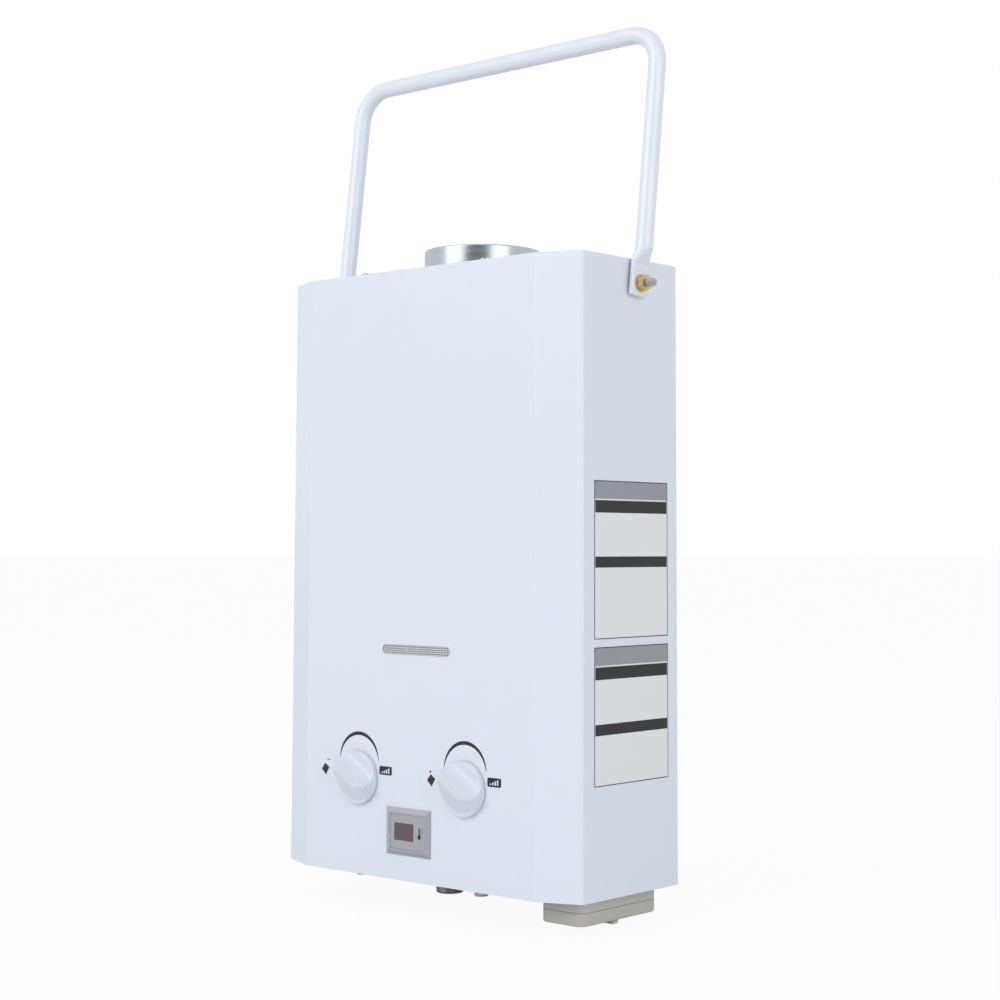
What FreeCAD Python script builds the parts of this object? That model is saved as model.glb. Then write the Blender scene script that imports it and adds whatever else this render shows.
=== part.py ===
import FreeCAD, Part
import math
import os

# Portable propane water heater that hangs on a wall by its rear bracket and is carried by a tube handle.
# Millimetres. X runs left to right seen from the front, Y from the front to the wall, and Z is up.
# The origin is the centre of the hanging hole, in the plane of the wall.

os.makedirs("parts", exist_ok=True)

V = FreeCAD.Vector

# Cabinet
BODY_WIDTH = 290.0
BODY_DEPTH = 118.0
BODY_HEIGHT = 440.0
CHAMFER_WIDTH = 31.8
CHAMFER_DEPTH = 13.0
SHEET = 0.8
BEND_RADIUS = 1.5
FLANGE = 12.0
NOTCH = 1.2
SEAM = 0.3
WALL_GAP = 6.5
HANG_DROP = 38.0

# Hanging bracket and lower fixing feet
HANG_HOLE_R = 4.5
HANG_SLOT_W = 4.6
HANG_SLOT_RISE = 9.0
BRACKET_W = 96.0
BRACKET_H = 34.0
BRACKET_T = 1.2
BRACKET_LUG = 14.0
FOOT_SPACING = 190.0
FOOT_RISE = 46.0
FOOT_R = 14.0
FOOT_HOLE_R = 2.75

# Front panel openings
SLOT_LENGTH = 68.0
SLOT_HEIGHT = 7.0
SLOT_RISE = 163.4
MESH_MARGIN = 8.0
MESH_T = 0.5
MESH_PITCH = 4.0
MESH_HOLE_R = 1.1
KNOB_RISE = 69.5
GAS_KNOB_X = -57.0
WATER_KNOB_X = 49.0
SPINDLE_HOLE_R = 7.0

# Knobs, which turn on flatted spindles
KNOB_R = 19.3
KNOB_STAND = 0.6
KNOB_DISC_T = 3.0
KNOB_REACH = 10.5
KNOB_GRIP_L = 34.0
KNOB_GRIP_W = 8.6
KNOB_SKIRT_W = 24.0
KNOB_REST_ANGLE = 31.0
KNOB_FIT = 0.03
SPINDLE_R = 3.0
SPINDLE_BUSH_R = 6.0
SPINDLE_FIT = 0.05

# Temperature display
DISPLAY_X = -5.5
DISPLAY_RISE = 34.6
BEZEL_W = 44.0
BEZEL_H = 33.4
BEZEL_PROUD = 2.4
BEZEL_BEVEL = 3.6
BEZEL_SUNK = 0.8
BEZEL_PLUG_W = 38.0
BEZEL_PLUG_H = 27.0
BEZEL_PLUG_DEPTH = 9.0
BEZEL_WALL = 1.4
WINDOW_W = 19.2
WINDOW_H = 12.4
WINDOW_X = -7.0
WINDOW_T = 1.2
BOARD_T = 1.6

# Flue
FLUE_FROM_FRONT = 69.5
FLUE_R = 43.8
FLUE_WALL = 0.6
FLUE_PROUD = 19.0
FLUE_RIM_R = 1.2
FLUE_FLANGE = 3.0
FLUE_SHOULDER = 0.6
FLUE_SHOULDER_RISE = 0.6
NECK_GAP = 0.2

# Handle, a bent tube with flattened ends
TUBE_R = 6.35
TUBE_WALL = 1.2
HANDLE_REACH = 186.9
HANDLE_BEND_R = 25.0
HANDLE_TILT = -6.7
PIVOT_DROP = 17.6
PIVOT_FROM_FRONT = 69.5
FLAT_T = 3.6
FLAT_W = 17.6
FLAT_TAIL = 8.8
FLAT_TOP = 14.0
ROUND_START = 25.0
LEG_CLEARANCE = 0.35
BOLT_R = 3.0
PIVOT_FIT = 0.08
SPACER_T = 1.8
PIVOT_SIDE_GAP = 0.1
WASHER_R = 6.2
WASHER_T = 1.2
NUT_AF = 10.0
NUT_T = 5.0
BOLT_PROUD = 7.5
BOLT_CHAMFER = 0.8
BOLT_HEAD_T = 4.0

# Heat exchanger and burner, in one column under the flue
CORE_W = 160.0
CORE_D = 78.0
CORE_WALL = 0.8
BURNER_TOP = 156.0
BURNER_H = 52.0
BAR_COUNT = 9
BAR_PITCH = 16.6
BAR_W = 11.0
BAR_D = 70.0
MOUTH_R = 5.2
MOUTH_LENGTH = 8.0
MOUTH_BELOW_TOP = 40.0
SHELL_BOTTOM = 172.0
SHELL_TOP = 290.0
FIN_COUNT = 18
FIN_PITCH = 8.6
FIN_T = 0.6
FIN_H = 44.0
TUBE_COUNT = 3
EX_TUBE_R = 8.0
EX_TUBE_PITCH = 25.0
EX_TUBE_WALL = 1.0
PIPE_R = 6.0
PIPE_WALL = 1.0
PIPE_BEND_R = 14.0
SOCKET_L = 5.0
FRAME_LUG = 10.0
HOOD_TOP = 410.0
HOOD_FLANGE = 5.0

# Burner supply
MANIFOLD_SIDE = 11.0
MANIFOLD_L = 150.0
JET_AF_R = 3.5
JET_TIP_R = 2.0
JET_L = 5.0
JET_GAP = 1.0

# Gas and water valve block
VALVE_RISE = 60.0
VALVE_FROM_FRONT = 52.0
GAS_BODY_LEFT = -84.0
GAS_BODY_RIGHT = -4.0
GAS_BODY_H = 38.0
GAS_BODY_D = 34.0
GAS_BORE_R = 10.0
SAFETY_SEAT_X = -50.0
GAS_SEAT_X = -28.0
SEAT_WEB = 4.0
END_WALL = 6.0
PORT_R = 5.5
DISC_LIFT = 0.1
GAS_FEED_X = -17.0
PLUG_R = 6.0
SOLENOID_R = 12.5
SOLENOID_L = 26.0
PLUNGER_R = 4.0
PLUNGER_TRAVEL = 2.5
SPIGOT_L = 8.0
SPRING_R = 7.0
SPRING_WIRE = 0.9
DISC_R = 7.5
DISC_T = 2.0
ROD_R = 2.0
ROD_FIT = 0.06
ROD_TRAVEL = 4.0
THRUST_R = 15.0
THRUST_T = 2.0
DIAPHRAGM_R = 28.0
DIAPHRAGM_T = 1.2
HOUSING_R = 32.0
COVER_LEFT = 14.0
COVER_T = 11.0
WATER_BODY_RIGHT = 78.0
WATER_BODY_H = 34.0
WATER_BODY_D = 32.0
VALVE_SCREW_COUNT = 6
VALVE_SCREW_R = 1.8

# Switch worked by the push rod
COLLAR_R = 5.0
COLLAR_T = 2.4
COLLAR_RIGHT_OF_GAP = 1.5
STRUT_HALF = 3.0
STRUT_Z = 12.0
SWITCH_W = 8.0
SWITCH_D = 20.0
SWITCH_H = 10.0
SWITCH_RISE = 16.5
LEVER_T = 0.8
LEVER_W = 8.0
LEVER_EAR_T = 1.4
LEVER_EYE_R = 1.7
LEVER_PIN_R = 1.0
LEVER_GAP = 0.3

# Fittings that stick out underneath
THREAD_R = 10.48
THREAD_BORE_R = 7.0
GAS_STUB_X = -14.0
GAS_STUB_FROM_FRONT = 52.0
GAS_STUB_DROP = 15.0
COLD_STUB_X = 56.0
HOT_STUB_X = -104.0
PIPE_STUB_FROM_FRONT = 76.0
PIPE_STUB_DROP = 11.5
DRAIN_FROM_FRONT = 50.0
GALLERY_RISE = 4.0
GALLERY_H = 11.0
COLUMN_HALF = 12.0
STUB_FLANGE_R = 13.5
STUB_FLANGE_T = 3.0
STUB_NECK_R = 11.5
STUB_CHAMFER = 0.8
PANEL_HOLE_FIT = 0.4
DRAIN_X = 19.0
DRAIN_R = 5.0
DRAIN_DROP = 13.5
DRAIN_BODY_R = 6.5
DRAIN_SCREW_R = 3.0

# Battery box with two round cells standing in a row
CELL_R = 16.6
CELL_H = 60.0
CELL_NUB_R = 4.5
CELL_NUB_H = 1.5
CELL_GAP = 0.4
BOX_X = 117.5
BOX_W = 38.0
BOX_L = 84.0
BOX_FROM_FRONT = 22.0
BOX_WALL = 1.6
BOX_CORNER_R = 7.0
BOX_SEAM_DROP = 8.4
BOX_DROP = 17.5
LID_GAP = 0.3
LID_FLOOR = 1.8
CONTACT_T = 0.5
LATCH_W = 9.0
LATCH_PROUD = 2.5
HINGE_R = 2.0
HINGE_PIN_R = 1.0
HINGE_FIT = 0.1
HINGE_L = 10.0

# Ignition and safety parts
IGNITER_W = 42.0
IGNITER_D = 22.0
IGNITER_H = 58.0
IGNITER_RISE = 30.0
PROBE_R = 2.6
PROBE_TIP_R = 0.9
PROBE_L = 26.0
PROBE_X = 24.0
CUTOUT_R = 8.0
CUTOUT_T = 6.0
SCREW_R = 1.9
SCREW_HEAD_R = 3.6
SCREW_HEAD_T = 1.6
SCREW_L = 6.0
SCREW_FIT = 0.2
RIVET_R = 1.6
RIVET_HEAD_R = 3.0
RIVET_HEAD_T = 0.8

# Planes and lines that several pieces share
BACK = -WALL_GAP
FRONT = BACK - BODY_DEPTH
TOP = HANG_DROP
BOTTOM = TOP - BODY_HEIGHT
HALF = BODY_WIDTH / 2
FLUE_Y = FRONT + FLUE_FROM_FRONT
CORE_FRONT = FLUE_Y - CORE_D / 2
CORE_BACK = FLUE_Y + CORE_D / 2
PIVOT_Y = FRONT + PIVOT_FROM_FRONT
PIVOT_Z = TOP - PIVOT_DROP
FLAT_INNER = HALF + SPACER_T + PIVOT_SIDE_GAP
FLAT_OUTER = FLAT_INNER + FLAT_T
LEG_X = HALF + LEG_CLEARANCE + TUBE_R
VALVE_Y = FRONT + VALVE_FROM_FRONT
VALVE_Z = BOTTOM + VALVE_RISE
KNOB_Z = BOTTOM + KNOB_RISE
PANEL_TOP = TOP - SHEET - 0.1
PANEL_BOTTOM = BOTTOM + SHEET + 0.1
STUB_Y = FRONT + PIPE_STUB_FROM_FRONT
GAS_STUB_Y = FRONT + GAS_STUB_FROM_FRONT
DRAIN_Y = FRONT + DRAIN_FROM_FRONT


def box(x0, x1, y0, y1, z0, z1):
    """A block between two corners."""
    return Part.makeBox(x1 - x0, y1 - y0, z1 - z0, V(x0, y0, z0))


def cyl(radius, start, end):
    """A round bar between two points."""
    a = V(*start)
    b = V(*end)
    return Part.makeCylinder(radius, (b - a).Length, a, b - a)


def tube(outer, inner, start, end):
    """A round pipe between two points."""
    a = V(*start)
    b = V(*end)
    step = (b - a).normalize()
    bore = Part.makeCylinder(inner, (V(*end) - a).Length + 2, a - step, step)
    return cyl(outer, start, end).cut(bore)


def hexagon(across_flats, start, end):
    """A hexagonal bar between two points along X or Z."""
    a = V(*start)
    b = V(*end)
    axis = b - a
    side = V(0, 0, 1) if abs(axis.x) > abs(axis.z) else V(1, 0, 0)
    corner = across_flats / math.sqrt(3)
    points = []
    for i in range(7):
        turn = FreeCAD.Rotation(axis, 60 * i)
        points.append(a + turn.multVec(side * corner))
    return Part.Face(Part.makePolygon(points)).extrude(axis)


def prism(points, z0, z1):
    """A flat outline in plan, raised from one height to another."""
    loop = [V(x, y, z0) for x, y in points]
    loop.append(loop[0])
    return Part.Face(Part.makePolygon(loop)).extrude(V(0, 0, z1 - z0))


def slot_bar(length, height, radius, x, z, y0, y1):
    """A bar along Y whose outline is a rectangle with rounded corners."""
    bar = box(x - length / 2, x + length / 2, y0, y1, z - height / 2, z + height / 2)
    edges = [e for e in bar.Edges if abs(e.tangentAt(e.FirstParameter).y) > 0.9]
    return bar.makeFillet(radius, edges)


def upright_fillet(shape, radius):
    """Round the edges that stand upright."""
    edges = [e for e in shape.Edges if abs(e.tangentAt(e.FirstParameter).z) > 0.99]
    return shape.makeFillet(radius, edges)


def pipe(points, outer, inner, bend):
    """A bent pipe along straight runs joined by tangent arcs, bored through unless inner is zero."""
    path = [V(*p) for p in points]
    edges = []
    start = path[0]
    for before, corner, after in zip(path, path[1:], path[2:]):
        into = (corner - before).normalize()
        out = (after - corner).normalize()
        half_turn = into.getAngle(out) / 2
        trim = bend * math.tan(half_turn)
        first = corner - into * trim
        last = corner + out * trim
        inward = (out - into).normalize()
        middle = corner + inward * (bend / math.cos(half_turn) - bend)
        if (first - start).Length > 0.001:
            edges.append(Part.makeLine(start, first))
        edges.append(Part.Arc(first, middle, last).toShape())
        start = last
    if (path[-1] - start).Length > 0.001:
        edges.append(Part.makeLine(start, path[-1]))
    wire = Part.Wire(edges)
    along = (path[1] - path[0]).normalize()
    solid = sweep(wire, outer, path[0], along)
    if inner > 0:
        solid = solid.cut(sweep(wire, inner, path[0], along))
    return solid


def sweep(wire, radius, start, along):
    """A round section carried along a path."""
    ring = Part.Wire(Part.makeCircle(radius, start, along))
    return wire.makePipeShell([ring], True, True)


def cabinet_outline(inset, back=BACK):
    """Plan outline of the cabinet, moved inwards by a distance, with its rear edge at a given depth."""
    x = HALF - inset
    y = FRONT + inset
    slope = math.hypot(CHAMFER_WIDTH, CHAMFER_DEPTH)
    front_shift = inset * (slope - CHAMFER_WIDTH) / CHAMFER_DEPTH
    side_shift = inset * (slope - CHAMFER_DEPTH) / CHAMFER_WIDTH
    front_x = HALF - CHAMFER_WIDTH - front_shift
    side_y = FRONT + CHAMFER_DEPTH + side_shift
    return [(-x, back), (-x, side_y), (-front_x, y), (front_x, y), (x, side_y), (x, back)]


def save(name, *solids):
    """Write one node, with a separate solid for each identical piece."""
    shape = solids[0] if len(solids) == 1 else Part.makeCompound(list(solids))
    for solid in shape.Solids:
        if not solid.isValid():
            print("not valid:", name)
    shape.exportStep("parts/" + name + ".step")
    count = sum(len(s.tessellate(0.1)[1]) for s in shape.Solids)
    print(f"{name:20s} {len(shape.Solids):3d} solids {count:6d} triangles {shape.Volume / 1000:9.2f} cm3")


def both_sides(solid):
    """A piece and its mirror image on the other side of the cabinet."""
    return [solid, solid.mirror(V(0, 0, 0), V(1, 0, 0))]


# Cabinet sheets

def front_cover():
    """One bent sheet: front, chamfers and sides, with flanges folded in at top and bottom."""
    behind = BACK + 20
    outer = upright_fillet(prism(cabinet_outline(0, behind), BOTTOM, TOP), BEND_RADIUS + SHEET)
    inner = upright_fillet(prism(cabinet_outline(SHEET, behind), BOTTOM + SHEET, TOP - SHEET), BEND_RADIUS)
    mouth = prism(cabinet_outline(FLANGE, behind), BOTTOM - 1, TOP + 1)
    beyond = box(-HALF - 1, HALF + 1, BACK, behind + 1, BOTTOM - 1, TOP + 1)
    sheet = outer.cut([inner, mouth, beyond]).cut(mitre_slots())
    holes = [
        slot_bar(SLOT_LENGTH, SLOT_HEIGHT, SLOT_HEIGHT / 2 - 0.01, 0, BOTTOM + SLOT_RISE, FRONT - 1, FRONT + 2),
    ]
    for x in (GAS_KNOB_X, WATER_KNOB_X):
        holes.append(cyl(SPINDLE_HOLE_R, (x, FRONT - 1, KNOB_Z), (x, FRONT + 2, KNOB_Z)))
    plug_z = BOTTOM + DISPLAY_RISE
    half_w = BEZEL_PLUG_W / 2 + SEAM
    half_h = BEZEL_PLUG_H / 2 + SEAM
    holes.append(
        box(DISPLAY_X - half_w, DISPLAY_X + half_w, FRONT - 1, FRONT + 2, plug_z - half_h, plug_z + half_h),
    )
    holes.append(cyl(BOLT_R + SCREW_FIT, (-HALF - 1, PIVOT_Y, PIVOT_Z), (HALF + 1, PIVOT_Y, PIVOT_Z)))
    for x, y, z in cover_screw_places():
        holes.append(cyl(SCREW_R + SCREW_FIT, (x, y, z - 2), (x, y, z + 2)))
    holes.append(battery_outline(SEAM, BOTTOM - 1, BOTTOM + 1))
    return sheet.cut(holes)


def mitre_slots():
    """Narrow gaps where one flange ends and the next begins, at each bend."""
    starts = cabinet_outline(SHEET + NOTCH)
    ends = cabinet_outline(FLANGE + 1)
    slots = []
    for start, end in zip(starts[1:5], ends[1:5]):
        a = V(start[0], start[1], 0)
        b = V(end[0], end[1], 0)
        along = (b - a).normalize()
        across = V(-along.y, along.x, 0) * (NOTCH / 2)
        corners = [(p.x, p.y) for p in (a + across, b + across, b - across, a - across)]
        for z in (BOTTOM, TOP):
            slots.append(prism(corners, z - SHEET - 0.2, z + SHEET + 0.2))
    return slots


def cover_screw_places():
    """Screws through the top and bottom flanges, near the front and at both sides."""
    y = FRONT + FLANGE / 2 + SHEET
    side_y = BACK - 30.0
    places = []
    for z in (TOP, BOTTOM):
        places.append((-60.0, y, z))
        places.append((60.0, y, z))
    for x in (-HALF + FLANGE / 2 + SHEET, HALF - FLANGE / 2 - SHEET):
        places.append((x, side_y, TOP))
    return places


def cover_screws():
    """Pan-head screws that hold the cover's flanges to the top and bottom panels."""
    screws = []
    for x, y, z in cover_screw_places():
        up = 1 if z == TOP else -1
        head = cyl(SCREW_HEAD_R, (x, y, z), (x, y, z + up * SCREW_HEAD_T))
        shank = cyl(SCREW_R, (x, y, z), (x, y, z - up * SCREW_L))
        screws.append(head.fuse(shank).removeSplitter())
    return screws


def panel(z, thickness):
    """A flat panel that lies inside the cover's flanges."""
    outline = cabinet_outline(SHEET + SEAM)
    flat = prism(outline, z, z + thickness)
    return flat.cut(box(-HALF, HALF, BACK - SHEET, BACK + 1, z - 1, z + thickness + 1))


def top_panel():
    """Carries the flue and closes the cabinet, with a rear flange riveted to the back plate."""
    flat = panel(PANEL_TOP - SHEET, SHEET)
    inner = HALF - SHEET - SEAM - 2
    flange = box(-inner, inner, BACK - 2 * SHEET, BACK - SHEET, PANEL_TOP - FLANGE, PANEL_TOP)
    flue_hole = FLUE_R + FLUE_SHOULDER + PANEL_HOLE_FIT
    holes = [cyl(flue_hole, (0, FLUE_Y, PANEL_TOP - 3), (0, FLUE_Y, PANEL_TOP + 3))]
    for x, y, z in cover_screw_places():
        holes.append(cyl(SCREW_R, (x, y, z - SCREW_L), (x, y, z)))
    return flat.fuse(flange).cut(holes).removeSplitter()


def bottom_panel():
    """Carries the fittings and the battery box, and lets the burner's air in through slots."""
    flat = panel(PANEL_BOTTOM, SHEET)
    inner = HALF - SHEET - SEAM - 2
    flange = box(-inner, inner, BACK - 2 * SHEET, BACK - SHEET, PANEL_BOTTOM, PANEL_BOTTOM + FLANGE)
    low = PANEL_BOTTOM - 1
    high = PANEL_BOTTOM + SHEET + 1
    holes = []
    for x, y in ((GAS_STUB_X, GAS_STUB_Y), (COLD_STUB_X, STUB_Y), (HOT_STUB_X, STUB_Y)):
        holes.append(cyl(STUB_NECK_R + PANEL_HOLE_FIT, (x, y, low), (x, y, high)))
    holes.append(cyl(DRAIN_BODY_R + PANEL_HOLE_FIT, (DRAIN_X, DRAIN_Y, low), (DRAIN_X, DRAIN_Y, high)))
    holes.append(battery_outline(SEAM, low, high))
    for row in range(3):
        for x in (-70.0, -38.0):
            y = BACK - 22.0 - 12.0 * row
            vent = box(x - 12, x + 12, y - 2.5, y + 2.5, low, high)
            holes.append(upright_fillet(vent, 2.4))
    for x, y, z in cover_screw_places():
        holes.append(cyl(SCREW_R, (x, y, z), (x, y, z + SCREW_L)))
    return flat.fuse(flange).cut(holes).removeSplitter()


def foot_places():
    return [(-FOOT_SPACING / 2, BOTTOM + FOOT_RISE), (FOOT_SPACING / 2, BOTTOM + FOOT_RISE)]


def back_plate():
    """Rear sheet with side returns inside the cover and two feet pressed out to the wall."""
    x = HALF - SHEET - SEAM
    low = PANEL_BOTTOM
    high = PANEL_TOP
    plate = box(-x, x, BACK - SHEET, BACK, low, high)
    for side in (-1, 1):
        edge = side * x
        inner = side * (x - SHEET)
        plate = plate.fuse(box(min(edge, inner), max(edge, inner), BACK - FLANGE, BACK, low + 2, high - 2))
    for foot_x, foot_z in foot_places():
        root = V(foot_x, BACK - SHEET, foot_z)
        out = Part.makeCone(FOOT_R, FOOT_R * 0.6, WALL_GAP + SHEET, root, V(0, 1, 0))
        hollow = Part.makeCone(
            FOOT_R - SHEET, FOOT_R * 0.6 - SHEET, WALL_GAP, root - V(0, 0.01, 0), V(0, 1, 0),
        )
        hole = cyl(FOOT_HOLE_R, (foot_x, BACK - 2, foot_z), (foot_x, 1, foot_z))
        plate = plate.fuse(out).cut([hollow, hole])
    holes = []
    for rivet_x, rivet_z in bracket_rivet_places():
        holes.append(cyl(RIVET_R, (rivet_x, BACK - 3, rivet_z), (rivet_x, BACK + 3, rivet_z)))
    return plate.cut(holes).removeSplitter()


def bracket_rivet_places():
    """Rivets in the lugs at both ends of the hanging bracket."""
    x = BRACKET_W / 2 - BRACKET_LUG / 2
    z = -2.0
    offset = BRACKET_H / 4
    return [(sx * x, z + sz * offset) for sx in (-1, 1) for sz in (-1, 1)]


def wall_bracket():
    """Stepped strap with a keyhole, which stands off the back plate for a screw head."""
    half = BRACKET_W / 2
    low = -2.0 - BRACKET_H / 2
    step = half - BRACKET_LUG
    outline = [
        (-half, BACK), (-half, BACK + BRACKET_T), (-step, BACK + BRACKET_T), (-step, 0), (step, 0),
        (step, BACK + BRACKET_T), (half, BACK + BRACKET_T), (half, BACK), (step - BRACKET_T, BACK),
        (step - BRACKET_T, -BRACKET_T), (BRACKET_T - step, -BRACKET_T), (BRACKET_T - step, BACK),
    ]
    strap = prism(outline, low, low + BRACKET_H)
    holes = [cyl(HANG_HOLE_R, (0, -3, 0), (0, 1, 0))]
    holes.append(box(-HANG_SLOT_W / 2, HANG_SLOT_W / 2, -3, 1, 0, HANG_SLOT_RISE))
    holes.append(cyl(HANG_SLOT_W / 2, (0, -3, HANG_SLOT_RISE), (0, 1, HANG_SLOT_RISE)))
    for x, z in bracket_rivet_places():
        holes.append(cyl(RIVET_R, (x, BACK - 1, z), (x, BACK + BRACKET_T + 1, z)))
    return strap.cut(holes)


def bracket_rivets():
    rivets = []
    for x, z in bracket_rivet_places():
        outside = BACK + BRACKET_T
        inside = BACK - SHEET
        shank = cyl(RIVET_R, (x, inside, z), (x, outside, z))
        head = cyl(RIVET_HEAD_R, (x, outside, z), (x, outside + RIVET_HEAD_T, z))
        tail = cyl(RIVET_HEAD_R, (x, inside - RIVET_HEAD_T, z), (x, inside, z))
        rivets.append(shank.fuse([head, tail]).removeSplitter())
    return rivets


def sight_mesh():
    """Perforated strip behind the sight slot."""
    half_l = SLOT_LENGTH / 2 + MESH_MARGIN
    half_h = SLOT_HEIGHT / 2 + MESH_MARGIN / 2
    z = BOTTOM + SLOT_RISE
    y = FRONT + SHEET
    strip = box(-half_l, half_l, y, y + MESH_T, z - half_h, z + half_h)
    holes = []
    count = int(SLOT_LENGTH / MESH_PITCH)
    for i in range(count):
        x = (i - (count - 1) / 2) * MESH_PITCH
        holes.append(cyl(MESH_HOLE_R, (x, y - 1, z), (x, y + 2, z)))
    return strip.cut(holes)


# Knobs, spindles and display

def knob(x):
    """Round skirt with a tapered bar grip, bored for the spindle."""
    face = FRONT - KNOB_STAND
    disc_front = face - KNOB_DISC_T
    disc = cyl(KNOB_R, (0, face, 0), (0, disc_front, 0))
    disc = disc.makeChamfer(
        0.8, [disc.Edges[i] for i in range(3) if abs(disc.Edges[i].CenterOfMass.y - disc_front) < 0.01],
    )
    tip = FRONT - KNOB_REACH
    rings = []
    for y, length, width in ((disc_front, KNOB_GRIP_L, KNOB_SKIRT_W), (tip, KNOB_GRIP_L - 4, KNOB_GRIP_W)):
        l = length / 2
        w = width / 2
        corners = [V(-l, y, -w * 0.7), V(-l * 0.8, y, w), V(l, y, w * 0.7), V(l * 0.8, y, -w)]
        rings.append(Part.makePolygon(corners + [corners[0]]))
    grip = Part.makeLoft(rings, True, True)
    grip = grip.common(cyl(KNOB_R - 0.8, (0, disc_front + 1, 0), (0, tip - 1, 0)))
    solid = disc.fuse(grip).removeSplitter()
    bore_end = spindle_tip() - 0.3
    bore_r = SPINDLE_R + KNOB_FIT
    flat = box(-bore_r, bore_r, bore_end, face + 1, -bore_r, SPINDLE_R * 0.5 + KNOB_FIT)
    solid = solid.cut(cyl(bore_r, (0, face + 1, 0), (0, bore_end, 0)).common(flat))
    solid.rotate(V(0, 0, 0), V(0, 1, 0), KNOB_REST_ANGLE)
    solid.translate(V(x, 0, KNOB_Z))
    return solid


def spindle_tip():
    return FRONT - KNOB_REACH + 3.0


def spindle(x, plug_back):
    """Valve spindle: flatted at the knob, a plug where it seats in the valve body."""
    body_front = VALVE_Y - GAS_BODY_D / 2
    face = FRONT - KNOB_STAND
    tip = spindle_tip()
    shaft = cyl(SPINDLE_R, (0, tip, 0), (0, plug_back, 0))
    flat = box(-SPINDLE_R, SPINDLE_R, tip - 1, face, SPINDLE_R * 0.5, SPINDLE_R + 1)
    plug = cyl(PLUG_R, (0, body_front + 4, 0), (0, plug_back, 0))
    solid = shaft.cut(flat).fuse(plug).removeSplitter()
    solid.rotate(V(0, 0, 0), V(0, 1, 0), KNOB_REST_ANGLE)
    solid.translate(V(x, 0, KNOB_Z))
    return solid


def bezel():
    """Bevelled frame with a sunk face, and a plug through the front sheet that holds the board."""
    z = BOTTOM + DISPLAY_RISE
    rings = []
    for y, shrink in ((FRONT, 0.0), (FRONT - BEZEL_PROUD, BEZEL_BEVEL)):
        w = BEZEL_W / 2 - shrink
        h = BEZEL_H / 2 - shrink
        corners = [V(-w, y, -h), V(w, y, -h), V(w, y, h), V(-w, y, h), V(-w, y, -h)]
        rings.append(Part.makePolygon(corners))
    frame = Part.makeLoft(rings, True, True)
    w = BEZEL_W / 2 - BEZEL_BEVEL - 0.8
    h = BEZEL_H / 2 - BEZEL_BEVEL - 0.8
    frame = frame.cut(box(-w, w, FRONT - BEZEL_PROUD - 1, FRONT - BEZEL_PROUD + BEZEL_SUNK, -h, h))
    pw = BEZEL_PLUG_W / 2
    ph = BEZEL_PLUG_H / 2
    plug = box(-pw, pw, FRONT, FRONT + BEZEL_PLUG_DEPTH, -ph, ph)
    inner_w = pw - BEZEL_WALL
    inner_h = ph - BEZEL_WALL
    plug = plug.cut(box(-inner_w, inner_w, FRONT + 0.6, FRONT + BEZEL_PLUG_DEPTH + 1, -inner_h, inner_h))
    solid = frame.fuse(plug)
    ww = WINDOW_W / 2
    wh = WINDOW_H / 2
    solid = solid.cut(box(WINDOW_X - ww, WINDOW_X + ww, FRONT - 4, FRONT + 2, -wh, wh))
    solid.translate(V(DISPLAY_X, 0, z))
    return solid.removeSplitter()


def display_window():
    z = BOTTOM + DISPLAY_RISE
    x = DISPLAY_X + WINDOW_X
    y = FRONT - BEZEL_PROUD + BEZEL_SUNK + 0.1
    w = WINDOW_W / 2 - 0.05
    h = WINDOW_H / 2 - 0.05
    return box(x - w, x + w, y, y + WINDOW_T, z - h, z + h)


def display_board():
    """Circuit board with the two-digit module behind the window."""
    z = BOTTOM + DISPLAY_RISE
    w = BEZEL_PLUG_W / 2 - BEZEL_WALL - 0.1
    h = BEZEL_PLUG_H / 2 - BEZEL_WALL - 0.1
    back = FRONT + BEZEL_PLUG_DEPTH - 1
    board = box(DISPLAY_X - w, DISPLAY_X + w, back - BOARD_T, back, z - h, z + h)
    x = DISPLAY_X + WINDOW_X
    module_w = WINDOW_W / 2 - 0.4
    module_h = WINDOW_H / 2 - 0.4
    module_front = FRONT - BEZEL_PROUD + BEZEL_SUNK + 0.1 + WINDOW_T + 0.1
    module = box(x - module_w, x + module_w, module_front, back - BOARD_T, z - module_h, z + module_h)
    return board.fuse(module).removeSplitter()


# Flue, exchanger and burner

def flue_collar():
    """Round stub with a rim rolled inwards, a shoulder through the top panel and a flange under it."""
    rim_z = TOP + FLUE_PROUD
    curl_z = rim_z - FLUE_RIM_R
    low = PANEL_TOP - SHEET - FLUE_WALL
    seat = low + FLUE_WALL
    shoulder_top = PANEL_TOP + FLUE_SHOULDER_RISE
    shoulder_r = FLUE_R + FLUE_SHOULDER
    wall = FLUE_R - FLUE_WALL
    curl_start = V(FLUE_R, 0, curl_z)
    curl_middle = V(FLUE_R - FLUE_RIM_R, 0, rim_z)
    curl_end = V(FLUE_R - 2 * FLUE_RIM_R, 0, curl_z)
    corners = [
        curl_end, V(wall, 0, curl_z - FLUE_RIM_R), V(wall, 0, low), V(FLUE_R + FLUE_FLANGE, 0, low),
        V(FLUE_R + FLUE_FLANGE, 0, seat), V(shoulder_r, 0, seat), V(shoulder_r, 0, shoulder_top),
        V(FLUE_R, 0, shoulder_top), curl_start,
    ]
    edges = [Part.makeLine(a, b) for a, b in zip(corners, corners[1:])]
    edges.append(Part.Arc(curl_start, curl_middle, curl_end).toShape())
    solid = Part.Face(Part.Wire(edges)).revolve(V(0, 0, 0), V(0, 0, 1), 360)
    solid.translate(V(0, FLUE_Y, 0))
    return solid


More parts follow.
